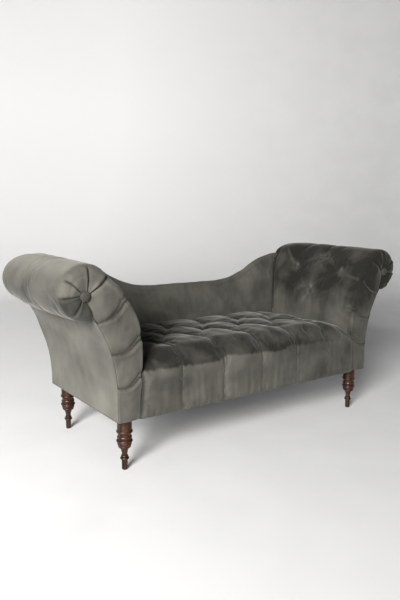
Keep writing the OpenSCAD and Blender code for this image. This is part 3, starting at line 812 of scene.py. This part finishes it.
# How far the cloth rolls up beside a pleat, and how deep the pleat is
PLEAT_ROLL = 0.0050
PLEAT_DEPTH = 0.0120
# How far from its folds an arm is drawn in, and how far at most, which is just short of the backing cloth
ARM_REACH = 0.080
DEEPEST = 0.0172
# Pleats into the rosette: length along the section, and angle round the button where each one ends
ROSETTE_PLEATS = [
    (at_height(0.805), 165),
    (at_scroll_angle(93), 138),
    (at_scroll_angle(32), 48),
    (at_scroll_angle(-10), -4),
    (at_scroll_angle(-58), -62),
]
stem_end = at_height(0.722)
rosette_start = at_height(0.762)


def rim_radius(s, round_r):
    """Radius of the turn into an end of the arm at place s, small again at the crease below."""
    widening, narrowing = at_height(0.60), at_scroll_angle(-50)
    onto_scroll = smooth((s - widening) / (at_scroll_angle(95) - widening))
    to_crease = smooth((s - narrowing) / (arm_len - narrowing))
    return STEM_RIM + (round_r - STEM_RIM) * onto_scroll * (1 - to_crease)


def face_target(s):
    """Where the cloth from place s is drawn to over the front: the outer edge, or the button's rim."""
    stem_s = [0] + [at_height(z) for z, _ in STEM_PLEATS] + [stem_end]
    stem_q = [0] + [at_outer_height(z) for _, z in STEM_PLEATS] + [outer_len]
    x, z, _, _ = outer_profile(np.interp(s, stem_s, stem_q))
    slit = math.degrees(math.atan2(join_z - ROSETTE_Z, join_x - ROSETTE_X))
    rim_s = [rosette_start] + [a for a, _ in ROSETTE_PLEATS] + [arm_len]
    rim_a = [slit + 360] + [a for _, a in ROSETTE_PLEATS] + [slit]
    angle = np.radians(np.interp(s, rim_s, rim_a))
    under_button = 0.6 * ROSETTE_R
    rim_x = ROSETTE_X + under_button * np.cos(angle)
    rim_z = ROSETTE_Z + under_button * np.sin(angle)
    along = smooth((s - stem_end) / (rosette_start - stem_end))
    x = np.where(s > stem_end, join_x + (rim_x - join_x) * along, x)
    z = np.where(s > stem_end, join_z + (rim_z - join_z) * along, z)
    return np.where(s > rosette_start, rim_x, x), np.where(s > rosette_start, rim_z, z)


def barrel(s, y, side):
    """How much fatter than its section the arm is at depth y.

    The scroll swells towards its middle, and the inside is filled out where it meets the back.
    """
    on_scroll = smooth((s - foot_len - 0.5 * inner_len) / (0.5 * inner_len))
    _, z, _, upward = arm_profile(s)
    droop = np.where(side < 0, LEFT_DROOP, RIGHT_DROOP) * (0.64 + 0.36 * np.maximum(upward, 0))
    taper = droop * (np.maximum(y, 0) / REAR) ** 2 + 0.005 * (np.minimum(y, 0) / 0.28) ** 2
    climb = smooth((z - 0.49) / 0.29) ** 1.8 * (1 - smooth((s - at_height(0.77)) / 0.15))
    proud = 0.004 * smooth((z - 0.50) / 0.08) * (1 - on_scroll)
    return proud + on_scroll * (0.003 - taper) + 0.056 * climb * smooth((y - 0.150) / 0.115)


def arm_tuft_places():
    """The buttons on the inside of an arm: (length along the section, place along the depth) by name."""
    return {k: (foot_len + inner_r * math.radians(a), y) for k, (a, y) in ARM_TUFTS.items()}


def arm_dimples():
    """The same buttons as dimples, each with how far it is drawn in and its radius."""
    return [(s, y, 0.006, 0.036) for s, y in arm_tuft_places().values()]


def arm_folds():
    """The pleats between the buttons on the inside of an arm."""
    t = arm_tuft_places()
    over = (t["top"][0] + 0.13, 0.02)
    rim = (t["front"][0] - 0.035, FRONT)
    bow = (t["low"][0] + 0.072, -0.062)
    return [
        (t["rear"], t["low"], 0.019, 0.0105, 0.019),
        (t["front"], bow, 0.018, 0.010, 0.009),
        (bow, t["low"], 0.009, 0.010, 0.018),
        (t["front"], t["top"], 0.018, 0.011, 0.018),
        (t["rear"], t["top"], 0.014, 0.006, 0.014),
        (t["front"], rim, 0.016, 0.006, 0.004),
        (t["top"], over, 0.016, 0.007, 0.001),
        (t["rear"], (t["rear"][0] + 0.10, 0.26), 0.012, 0.003, 0.001),
        (t["low"], (t["low"][0] - 0.07, 0.035), 0.014, 0.003, 0.001),
        (t["low"], (t["low"][0] - 0.075, -0.03), 0.014, 0.003, 0.001),
    ]


def front_pleats(s, reach_in, over_face):
    """Rise of the pleated cloth round the front of an arm, and how deep in a crease it is, which is painted
    as shade.

    s is the place on the section, reach_in how strongly the pleats show there, and over_face the share
    of the way from the rim to the outer edge or the button, below 0 on the rim.
    """
    rise = np.zeros(np.broadcast(s, over_face).shape)
    crease = np.zeros(rise.shape)
    across = np.maximum(over_face, 0)
    sag = PLEAT_BOW * np.sin(math.pi * across)
    for z, _ in STEM_PLEATS:
        d = s - at_height(z) + sag
        deep = reach_in * (0.5 + 0.5 * smooth(across / 0.25))
        rise += deep * PLEAT_ROLL * bell(d + 0.013, 0.009)
        rise -= deep * PLEAT_DEPTH * ridge(d, 0.009)
        crease = np.maximum(crease, reach_in * bell(d, 0.0035))
        # A second, softer fold above it, which runs into it at the outer edge
        apart = d - 0.020 * (1 - across)
        soft = reach_in * (1 - across) ** 0.6
        rise -= soft * 0.0055 * ridge(apart, 0.007)
        crease = np.maximum(crease, 0.6 * soft * bell(apart, 0.003))
    for a, _ in ROSETTE_PLEATS:
        d = s - a
        # Each is as deep as it is wide; the one from the seat side is the widest and starts further back
        start, width = (-1.0, 0.013) if a < at_scroll_angle(130) else (-0.75, 0.010)
        show = reach_in * smooth((over_face - start) / 0.45)
        rise += show * PLEAT_ROLL * bell(d - 1.1 * width, width)
        rise -= show * width * ridge(d, width)
        crease = np.maximum(crease, show * bell(d, 0.0042))
    return rise, crease


def arm_settling(side, dimples):
    """How the cloth inside an arm settles, on a coarse grid, with the grid's rows and columns."""
    rows = np.linspace(0, arm_len, 96)
    columns = np.linspace(REAR - 0.02, FRONT + 0.02, 58)
    s, y = np.meshgrid(rows, columns, indexing="ij")
    px, pz, nx, nz = arm_profile(s)
    drawn, _ = tufting(s, y, arm_folds(), dimples, ARM_REACH)
    rise = barrel(s, y, side) - drawn
    sheet = points(side * (px + nx * rise), y, pz + nz * rise)
    folds = [(a, b, 50 * deep) for a, b, _, deep, _ in arm_folds()]
    edge = np.minimum(np.minimum(s, arm_len - s), np.minimum(y - columns[-1], columns[0] - y))
    held = pinning(s, y, dimples, folds, edge)
    # The left arm's columns are turned round, so that both sheets face outwards
    order = slice(None, None, side)
    moved = relax("arm_cloth", sheet[:, order], held[:, order], 0.02)[:, order]
    return moved[:, ::-1] * (side, 1, 1), rows, columns[::-1]


def arm_nap_and_painted_light(side, s, rings, seed):
    """How pale an arm's velvet is painted: random tone, with painted sheen and shade for the nap laid
    outwards, pale on the left arm, dark on the right.
    """
    x, y, z = (rings[..., k] for k in range(3))
    nap = 0.10 * waves(s, y, 0.17, seed + 3)
    on_front = smooth((FRONT + 0.045 - y) / 0.03)
    low = 1 - smooth((z - 0.45) / 0.24)
    # Right arm: painted light low down, and painted shade over the scroll's front
    if side > 0:
        nap += RIGHT_ARM_PAINTED_SHADE + 0.52 * low
        return nap * (1 - smooth((s - at_height(0.74)) / 0.06) * on_front)
    # Left arm: painted highlight along the roll's crest, painted shade under the roll and on the front
    crest = smooth((s - at_height(0.78)) / 0.06) * (1 - smooth((s - at_scroll_angle(62)) / 0.08))
    under = smooth((s - at_scroll_angle(40)) / 0.10)
    nap += LEFT_ARM_PAINTED_LIGHT + (0.75 * crest - 0.30 * under) * (1 - on_front) - 0.06 * on_front
    # Painted shade below and outside the button, where the gathered nap lies the other way
    angle = np.degrees(np.arctan2(z - ROSETTE_Z, -x - ROSETTE_X))
    away = smooth((6 - angle) / 8) * smooth((angle + 118) / 8)
    return nap - 0.45 * away * on_front * smooth((s - at_scroll_angle(60)) / 0.03)


def arm_body(side, s, y_rear, y_front, seed):
    """An arm's inside and scroll, straight along the depth from the rear rim to the front one.

    Gives its points, how deep in a crease each one is, which is painted as shade, how much paler the
    nap is painted beside the creases as a highlight, and how far the pleats rise where the front rim starts.
    """
    px, pz, nx, nz = arm_profile(s)
    y = y_rear + (y_front - y_rear) * np.linspace(0, 1, 118)[None, :]
    dimples = arm_dimples()
    drawn, crease = tufting(s, y, arm_folds(), dimples, ARM_REACH)
    uneven = 0.0012 - 0.0007 * smooth((s - at_scroll_angle(120)) / 0.08)
    fat = barrel(s, y, side)
    rise = fat - np.minimum(drawn, DEEPEST) + puckers(s, y, dimples, seed)
    rise += uneven * waves(s, y, 0.11, seed + 1)
    near_rim = smooth(1 - (y - y_front) / 0.040)
    pleat_rise, pleat_crease = front_pleats(s, near_rim**1.5, np.full(y.shape, -1.0))
    rise = np.maximum(rise + pleat_rise, fat - DEEPEST)
    crease = np.maximum(crease, pleat_crease)
    # Painted highlight beside the creases
    paler = painted_fold_highlight(crease)
    # Drawn in where the back meets the arm, with painted shade along the join
    lean_y = back_low.y + BACK_LEAN * np.clip((pz - BACK_FOOT_Z) / 0.34, 0, 1) ** 1.3
    from_back = y - lean_y - 0.004
    at_back = (s < at_height(0.78)) * (s > foot_len)
    crease = np.maximum(crease, 0.9 * (bell(from_back, 0.008) * at_back))
    rise -= 0.006 * bell(from_back, 0.012) * at_back
    moved, rows, columns = arm_settling(side, dimples)
    body = points(px + nx * rise, y, pz + nz * rise) + between(moved, rows, columns, s + 0 * y, y)
    return body, crease, paler, pleat_rise[:, -1:]


def arm_face(side, s, rim, seed):
    """The gathered front face of an arm, from the rim to the outer edge or the button, and its creases,
    painted as shade.
    """
    w = np.linspace(0, 1, 34)[None, 1:]
    tx, tz = face_target(s)
    fx = rim[..., 0] + (tx - rim[..., 0]) * w
    fz = rim[..., 2] + (tz - rim[..., 2]) * w
    rise, crease = front_pleats(s, np.ones_like(w), w)
    to_button = np.hypot(fx - ROSETTE_X, fz - ROSETTE_Z)
    dome = 0.007 * np.sin(math.pi * w) * smooth((to_button - 0.02) / 0.06)
    sink = 0.013 * fall(to_button, 0.075)
    slit, _, _ = to_segment(fx, fz, (join_x, join_z), (ROSETTE_X, ROSETTE_Z))
    slit_sink = 0.009 * ridge(slit, 0.010)
    outer_edge = np.where(s < stem_end, 0.005 * fall((1 - w) * 0.11, 0.008), 0)
    ripple = 0.0009 * waves(fx, fz, 0.045, seed + 2)
    settle = np.where(s < stem_end, 1.0 - 0.5 * w**3, 1.0)
    fy = FRONT - dome - rise * settle + sink + slit_sink + outer_edge - ripple * np.sin(math.pi * w)
    # The timber behind it never shows
    fy = np.minimum(fy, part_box(SIDE_NAMES[side] + "_front_scroll_board")[0].y - 0.001)
    # Painted shade in the slit and in a ring round the button
    crease = np.maximum(crease * settle, bell(slit, 0.004))
    return points(fx, fy, fz), np.maximum(crease, bell(to_button - 0.012, 0.010))


def build_arm(side):
    """An arm: cover and padding of the inside, the scroll and the gathered front, as one closed piece."""
    name = SIDE_NAMES[side]
    seed = 30 if side > 0 else 40
    marks = [at_height(z) for z, _ in STEM_PLEATS] + [a for a, _ in ROSETTE_PLEATS]
    s = graded(0, arm_len, marks, 0.0056, 0.0016, 0.011)[:, None]
    _, _, nx, nz = arm_profile(s)
    front_r, rear_r = rim_radius(s, FRONT_ROUND), rim_radius(s, REAR_ROUND)
    y_rear, y_front = ARM_END - rear_r, FRONT + front_r
    body, crease_body, paler, pleat_rise = arm_body(side, s, y_rear, y_front, seed)

    # Rims: a quarter turn at each end
    turn = np.linspace(0, math.pi / 2, 16)[None, 1:]
    rim_rise, crease_rim = front_pleats(s, np.ones_like(turn), 2 * turn / math.pi - 1)
    rim_rise = np.maximum(rim_rise, -0.0080) - pleat_rise
    # Painted shade along the line where the seat meets the arm
    crease_rim = np.maximum(crease_rim, 0.9 * (s < at_height(0.43)) * bell(turn, 0.9))
    pull = front_r * (1 - np.cos(turn)) - rim_rise * np.cos(turn)
    last = body[:, -1:]
    rim_y = y_front - (front_r + rim_rise) * np.sin(turn)
    front_rim = points(last[..., 0] - nx * pull, rim_y, last[..., 2] - nz * pull)
    back_turn = turn[:, ::-1][:, 1::2]
    back_pull = rear_r * (1 - np.cos(back_turn))
    first = body[:, :1]
    rim_y = y_rear + rear_r * np.sin(back_turn)
    rear_rim = points(first[..., 0] - nx * back_pull, rim_y, first[..., 2] - nz * back_pull)

    # The front rim is eased into the first line of the face
    face, crease_face = arm_face(side, s, front_rim[:, -1:], seed)
    front_rim[:, :, 1] += smooth(2 * turn / math.pi) * (face[:, :1, 1] - front_rim[:, -1:, 1])
    # Closing line at the rear, straight behind the front face's end
    close = face[:, -1:] * (1, 0, 1) + (0, REAR - REAR_GAP, 0)
    rings = np.concatenate([rear_rim, body, front_rim, face, close], axis=1)
    rings[:, :, 2] = np.maximum(rings[:, :, 2], BODY_Z)
    rings[:, :, 0] *= side
    piece = ring_mesh(name + "_arm", rings)

    start = rear_rim.shape[1]
    creases = [np.zeros((len(s), start)), crease_body, crease_rim, crease_face, np.zeros((len(s), 1))]
    crease = np.concatenate(creases, axis=1)
    if side > 0:
        # Painted shade: the right scroll's front is painted nearly black, as it is seen straight into its
        # nap
        in_front = smooth((FRONT + 0.030 - rings[..., 1]) / 0.03)
        crease = np.maximum(crease, 0.85 * (smooth((s - at_height(0.74)) / 0.06) * in_front))
    nap = arm_nap_and_painted_light(side, s, rings, seed)
    nap[:, start : start + body.shape[1]] += paler
    # Painted highlight: pale above each button, where the nap is pinched
    for bs, by, _, _ in arm_dimples():
        nap += 0.45 * bell(np.hypot((s - bs - 0.022) / 0.015, (rings[..., 1] - by) / 0.010), 1)
    finish_piece(piece, crease, nap, [name + "_arm_cover", name + "_arm_pad"])


def outer_rise(q, y):
    """How far an outer panel stands out of its plain section: more towards the rear, under the scroll."""
    swell = 0.0035 * np.sin(math.pi * np.clip(q / outer_len, 0, 1)) * np.cos(math.pi * y / depth)
    return 0.0006 + swell + 0.023 * smooth(1.4 * q / outer_len) * smooth((y - FRONT) / depth)


def build_outer_panel(side):
    """The plain panel on the outside of an arm, from the bottom up to the crease under the scroll."""
    name = SIDE_NAMES[side]
    seed = 60 if side > 0 else 50
    q = np.linspace(0, outer_len + PANEL_TUCK, 100)[:, None]
    x, z, nx, nz = outer_profile(q)
    y_start = FRONT + 0.003 + 0.030 * smooth((q - outer_len - 0.004) / 0.012)
    y = y_start + (REAR - 0.003 - y_start) * np.linspace(0, 1, 120)[None, :]
    middle = np.sin(math.pi * np.clip(q / outer_len, 0, 1))
    rise = outer_rise(q, y) + 0.0012 * waves(q, y, 0.16, seed) * middle
    rise += 0.0005 * waves(q * 0.5, y * 2.5, 0.09, seed + 1) * smooth((q - 0.30) / 0.12)
    # Small puckers along the seam with the front
    rise += 0.0007 * waves(q * 4, y * 0, 0.10, seed + 2) * fall(y - FRONT - 0.003, 0.030)
    edge = np.minimum(y - FRONT, REAR - y)
    rise -= 0.0035 * fall(edge, 0.008) + 0.003 * fall(q, 0.008)
    outer = points(x + nx * rise, y, z + nz * rise)
    inner = [points(x - nx * PANEL_INSIDE, y[:, [e]], z - nz * PANEL_INSIDE) for e in (-1, 0)]
    rings = np.concatenate([outer, *inner], axis=1)
    rings[:, :, 2] = np.maximum(rings[:, :, 2], BODY_Z)
    rings[:, :, 0] *= side
    piece = ring_mesh(name + "_outer_panel", rings)
    # Painted shade in the crease under the scroll
    tuck_shade = bell(outer_len - q, 0.006) + 0 * y
    # Painted light on the panel's lower part
    nap = PANEL_TONE_AND_LIGHT + 0.12 * waves(q, y, 0.2, seed + 3) + 0.30 * smooth((0.25 - q) / 0.20)
    finish_piece(piece, *(np.pad(v, INSIDE) for v in (tuck_shade, nap)), [name + "_outer_arm_panel"])


# ---------- back ----------


def arm_inner_x(z):
    """How far out the inside of an arm is at height z, before its padding fills out towards the back."""
    z = np.asarray(z, float)
    low = WAIST_X + foot_r - np.sqrt(foot_r**2 - np.minimum(z - WAIST_Z, 0) ** 2)
    high = inner_x - np.sqrt(inner_r**2 - np.clip(z - WAIST_Z, 0, inner_len) ** 2)
    return np.where(z < WAIST_Z, low, high)


def back_place(t, h):
    """x and z of a point a share t of the way across the back and h of the way up it."""
    z = np.full(np.broadcast(t, h).shape, BACK_Z)
    for _ in range(30):
        x = t * (arm_inner_x(z) + 0.004)
        z = BACK_FOOT_Z + h * (back_top(x) - BACK_FOOT_Z)
    return x, z


def arm_face_x(side, z, y):
    """How far out the finished inside of an arm is, its filling towards the back included."""
    z = np.clip(z, WAIST_Z + 0.001, join_z + 0.12)
    s = foot_len + inner_r * np.arcsin((z - WAIST_Z) / inner_r)
    return arm_inner_x(z) - barrel(s, y, side)


def build_back():
    """The low back's cover and padding, with a soft rolled top edge."""
    t = np.linspace(-1, 1, 300)[:, None]
    up = np.linspace(0, 1, 64)
    x_up, z_up = back_place(t, up[None, :])
    x_top, z_top = x_up[:, -1:], z_up[:, -1:]
    share = np.clip((z_up - BACK_FOOT_Z) / (z_top - BACK_FOOT_Z), 0, 1)
    z_front = BACK_FOOT_Z + share * (z_top - 0.65 * BACK_ROLL - BACK_FOOT_Z)
    belly = 0.006 * np.sin(math.pi * share) + 0.0012 * waves(x_up, z_up, 0.13, 71)
    y_front = back_low.y + BACK_LEAN * share**1.3 - belly
    beside = arm_face_x(np.sign(x_up), z_front, y_front) - np.abs(x_up)
    y_front = y_front + 0.016 * fall(np.maximum(beside, 0), 0.040)
    y_front = np.minimum(y_front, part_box("back_crest_rail")[0].y - 0.002)
    front = points(x_up, y_front, z_front)
    # Half a turn over the top edge, from the front face to the rear
    turn = np.linspace(0, math.pi, 26)[None, 1:]
    y_near, y_far = y_front[:, -1:], REAR - REAR_GAP
    over_y = (y_near + y_far) / 2 - (y_far - y_near) / 2 * np.cos(turn)
    over_z = z_front[:, -1:] + (BACK_ROLL + 0.0008 * waves(x_top, turn * 0.02, 0.08, 72)) * np.sin(turn)
    top = points(x_top, over_y, over_z)
    behind = top[:, -1:] * (1, 1, 0) + (0, 0, BACK_FOOT_Z)
    rings = np.concatenate([front, top, behind], axis=1)
    piece = ring_mesh("back_rest", rings)
    crease = np.zeros(rings.shape[:2])
    # Painted shade where the back meets the arms
    crease[:, : len(up)] = bell(np.maximum(beside, 0), 0.012)
    nap = BACK_TONE_AND_LIGHT + 0.08 * waves(rings[..., 0], rings[..., 2], 0.2, 73)
    finish_piece(piece, crease, nap, ["back_inner_cover", "back_pad"])


# Inset of the rear panel's edge from the outline of the pieces in front of it, and round the scrolls
REAR_INSET = 0.004
SCROLL_INSET = 0.003


def rear_outline():
    """Half of the outline of the daybed's rear: x, and the heights of the lower and the upper edge there."""
    s = np.linspace(at_height(0.60), arm_len, 900)
    ax, az, anx, anz = arm_profile(s)
    scroll_start = at_height(0.76)
    onto_scroll = smooth((s - scroll_start) / (at_scroll_angle(80) - scroll_start))
    inset = REAR_INSET + SCROLL_INSET * onto_scroll
    fat = barrel(s, REAR, -1) - inset
    ax, az = ax + anx * fat, az + anz * fat
    reach = int(np.argmax(ax))
    q = np.linspace(0, outer_len, 400)
    ox, oz, onx, onz = outer_profile(q)
    fat = outer_rise(q, REAR) - REAR_INSET
    ox, oz = ox + onx * fat, oz + onz * fat
    end = ax[reach] - 0.00002
    x = end * np.sin(np.linspace(0, math.pi / 2, 130))
    # The scroll's upper edge, and where the arm's inside runs down to the back
    upper_x, upper_z = ax[: reach + 1], az[: reach + 1]
    order = np.argsort(upper_x)
    arm_top = np.interp(x, upper_x[order], upper_z[order], left=0)
    top = np.maximum(arm_top, np.where(x < upper_x.min() + 0.06, back_top(x) - REAR_INSET, 0))
    lower_x, lower_z = ax[reach:], az[reach:]
    scroll_low = np.interp(x, lower_x[::-1], lower_z[::-1], left=9)
    sweep_low = np.interp(x, ox, oz, left=BODY_Z, right=9)
    low = np.minimum(np.where(x < ox[0], BODY_Z, sweep_low), scroll_low)
    return x, low, np.maximum(top, low + 0.0001)


def build_rear_panel():
    """The panel that closes the whole rear, gently padded, with its edges turned in."""
    x, low, top = rear_outline()
    x = np.concatenate([-x[:0:-1], x])[:, None]
    low, top = (np.concatenate([edge[:0:-1], edge])[:, None] for edge in (low, top))
    z = low + (top - low) * np.linspace(0, 1, 70)[None, :]
    edge = np.minimum(np.minimum(z - low, top - z), np.abs(x).max() - np.abs(x))
    proud = 0.0055 - 0.0080 * fall(edge, 0.014) + 0.0006 * waves(x, z, 0.20, 91)
    outer = points(x, REAR - 0.001 + proud, z)
    inner = points(x, REAR - 0.0045, z)[:, ::-1]
    piece = ring_mesh("rear_panel", np.concatenate([outer, inner], axis=1))
    # Painted shade along the turned-in edges
    crease = np.concatenate([0.5 * bell(edge, 0.004), 0 * z], axis=1)
    nap = np.tile(REAR_TONE_AND_LIGHT + 0.07 * waves(x, z, 0.22, 92), 2)
    finish_piece(piece, crease, nap, ["back_outer_panel"])


# ---------- buttons ----------


def covered_button(radius, height, seed):
    """A covered button that faces +Z: a low dome with the cloth gathered under its edge."""
    rng = np.random.default_rng(seed)
    a = np.linspace(0, 2 * math.pi, 48, endpoint=False)[None, :]
    climb = np.linspace(0, 1, 22)[:, None]
    # The dome runs on past its widest part, to where the cloth goes under
    last_angle = math.pi * 0.62
    angle = climb * last_angle
    r = radius * np.sin(angle)
    z = height * (np.cos(angle) - math.cos(last_angle)) / (1 - math.cos(last_angle))
    gather = np.cos(17 * a + rng.uniform(0, 6)) + 0.6 * np.cos(11 * a + rng.uniform(0, 6))
    r = r * (1 + 0.018 * gather * smooth((climb - 0.6) / 0.3))
    r = np.maximum(r, radius * 0.02)
    return points(r * np.cos(a), r * np.sin(a), z + 0 * a)


def button_group(name, places, radius, height, replaced):
    """Several covered buttons as one piece; each place is (point, outward direction)."""
    verts, faces = [], []
    for k, (point, direction) in enumerate(places):
        dome = covered_button(radius, height, 80 + k)
        turn = np.array(Vector(direction).to_track_quat("Z", "Y").to_matrix())
        faces += ring_faces(*dome.shape[:2], first=len(verts))
        verts += (dome.reshape(-1, 3) @ turn.T + np.array(point)).tolist()
    piece = closed_piece(name, verts, faces)
    finish_piece(piece, np.zeros(len(verts)), np.full(len(verts), BUTTON_TONE_AND_LIGHT), [replaced], "velvet_button")


def build_buttons():
    """The covered buttons of the seat and arms, and the larger ones in the scrolls."""
    places = []
    for x, p in (place for row in seat_tufts() for place in row):
        y = back_face_y - p
        z = CROWN_Z - SEAT_FOLD - SEAT_DIMPLE - float(seat_drop(x, y))
        places.append(((x, y, z), (0, 0, 1)))
    button_group("seat_button_heads", places, BUTTON_R, BUTTON_RISE, "seat_buttons")
    sink = DEEPEST - 0.002
    for side, name in SIDE_NAMES.items():
        places = []
        for s, y in arm_tuft_places().values():
            x, z, nx, nz = (float(v) for v in arm_profile(s))
            places.append(((side * (x - nx * sink), y, z - nz * sink), (side * nx, 0, nz)))
        button_group(name + "_arm_button_heads", places, BUTTON_R, BUTTON_RISE, name + "_arm_buttons")
        centre = ((side * ROSETTE_X, FRONT + 0.008, ROSETTE_Z), (0, -1, 0))
        button_group(name + "_rosette", [centre], ROSETTE_R, ROSETTE_RISE, name + "_scroll_button")


# ---------- stage ----------


PAPER = (0.49, 0.492, 0.496)
PAPER_PALE = (0.51, 0.512, 0.515)
# Painted light on the far paper and painted shade on the near paper
FAR_PAPER_PAINTED_LIGHT = (0.77, 0.77, 0.775)
NEAR_PAPER_PAINTED_SHADE = (0.40, 0.40, 0.405)


# The floor's radius, the radius of its bend up into the wall, and the wall's height
FLOOR_R = 4.3
FLOOR_BEND = 2.6
WALL_Z = 4.6


def build_stage():
    """A pale floor that curves up into walls all round."""
    profile = [(r, 0.0) for r in (0.01, 1.0, 2.0, 3.0, 4.0, FLOOR_R)]
    for k in range(1, 13):
        a = k / 12 * math.pi / 2
        profile.append((FLOOR_R + FLOOR_BEND * math.sin(a), FLOOR_BEND * (1 - math.cos(a))))
    profile.append((FLOOR_R + FLOOR_BEND, WALL_Z))
    turn = np.linspace(0, 2 * math.pi, 97)[:-1]
    verts = [(r * math.cos(a), r * math.sin(a), z) for r, z in profile for a in turn]
    n = len(turn)
    faces = [list(range(n))] + quads(len(profile), n)[:, ::-1].tolist()
    mesh = bpy.data.meshes.new("floor")
    mesh.from_pydata(verts, [], faces)
    mesh.polygons.foreach_set("use_smooth", [True] * len(mesh.polygons))
    floor = add_object("floor", mesh)
    material, tree, shader = new_material("pale_paper")
    spot = add_node(tree, "SeparateXYZ", {0: place(tree, (1, 1, 1))}).outputs
    paper = mix_colour(ramp(noise(tree, 3.0, 4.0), 0.4, 0.6), PAPER, PAPER_PALE)
    # Painted shade and light: the paper is painted greyer towards the front, near the lamp, and paler
    # towards the left at the back, far from it
    away = combine("ADD", spot["Y"], combine("MULTIPLY", spot["X"], -0.6))
    paper = mix_colour(ramp(spot["Y"], -1.9, -0.4), NEAR_PAPER_PAINTED_SHADE, paper)
    paper = mix_colour(ramp(away, 0.0, 4.5), paper, FAR_PAPER_PAINTED_LIGHT)
    feed(shader, {"Base Color": paper, "Roughness": 0.9, "Specular IOR Level": 0.1})
    mesh.materials.append(material)


# The one lamp, a square soft light low on the left, and the weak even light from all round
KEY_AT = (-5.1, -3.6, 2.8)
KEY_AIM = (0.0, 0.3, 0.45)
KEY_SIZE = 2.2
KEY_WATTS = 1280
KEY_COLOUR = (1.0, 0.99, 0.965)
SKY_COLOUR = (0.95, 0.97, 1.0, 1)
SKY_STRENGTH = 0.14


def build_lights():
    """A low soft light from the left, with a weak even fill."""
    data = bpy.data.lights.new("key", "AREA")
    data.shape = "SQUARE"
    data.size = KEY_SIZE
    data.energy = KEY_WATTS
    data.color = KEY_COLOUR
    lamp = add_object("key", data)
    lamp.location = KEY_AT
    lamp.rotation_euler = (Vector(KEY_AIM) - Vector(KEY_AT)).to_track_quat("-Z", "Y").to_euler()
    world = bpy.data.worlds.new("studio")
    world.use_nodes = True
    feed(world.node_tree.nodes["Background"], {"Color": SKY_COLOUR, "Strength": SKY_STRENGTH})
    bpy.context.scene.world = world
    bpy.context.scene.view_settings.view_transform = "Standard"


CAMERA_AT = (-1.7945, -2.2962, 1.0532)
CAMERA_YAW = 36.24
CAMERA_DOWN = 8.77
CAMERA_ROLL = 0.73
CAMERA_LENS = 35.6


def build_camera():
    """The camera, standing left of the front and a little above the arms."""
    yaw, down, roll = (math.radians(a) for a in (CAMERA_YAW, CAMERA_DOWN, CAMERA_ROLL))
    forward = Vector((math.sin(yaw) * math.cos(down), math.cos(yaw) * math.cos(down), -math.sin(down)))
    right = Vector((math.cos(yaw), -math.sin(yaw), 0))
    up = right.cross(forward)
    across = right * math.cos(roll) + up * math.sin(roll)
    upward = up * math.cos(roll) - right * math.sin(roll)
    matrix = Matrix((across, upward, -forward)).transposed().to_4x4()
    matrix.translation = CAMERA_AT
    data = bpy.data.cameras.new("camera")
    data.lens = CAMERA_LENS
    data.sensor_width = 36.0
    camera = add_object("camera", data)
    camera.matrix_world = matrix
    bpy.context.scene.camera = camera


build_camera()
build_stage()
build_lights()
dress_frame()
build_seat()
for arm_side in SIDE_NAMES:
    build_arm(arm_side)
    build_outer_panel(arm_side)
build_back()
build_rear_panel()
build_buttons()
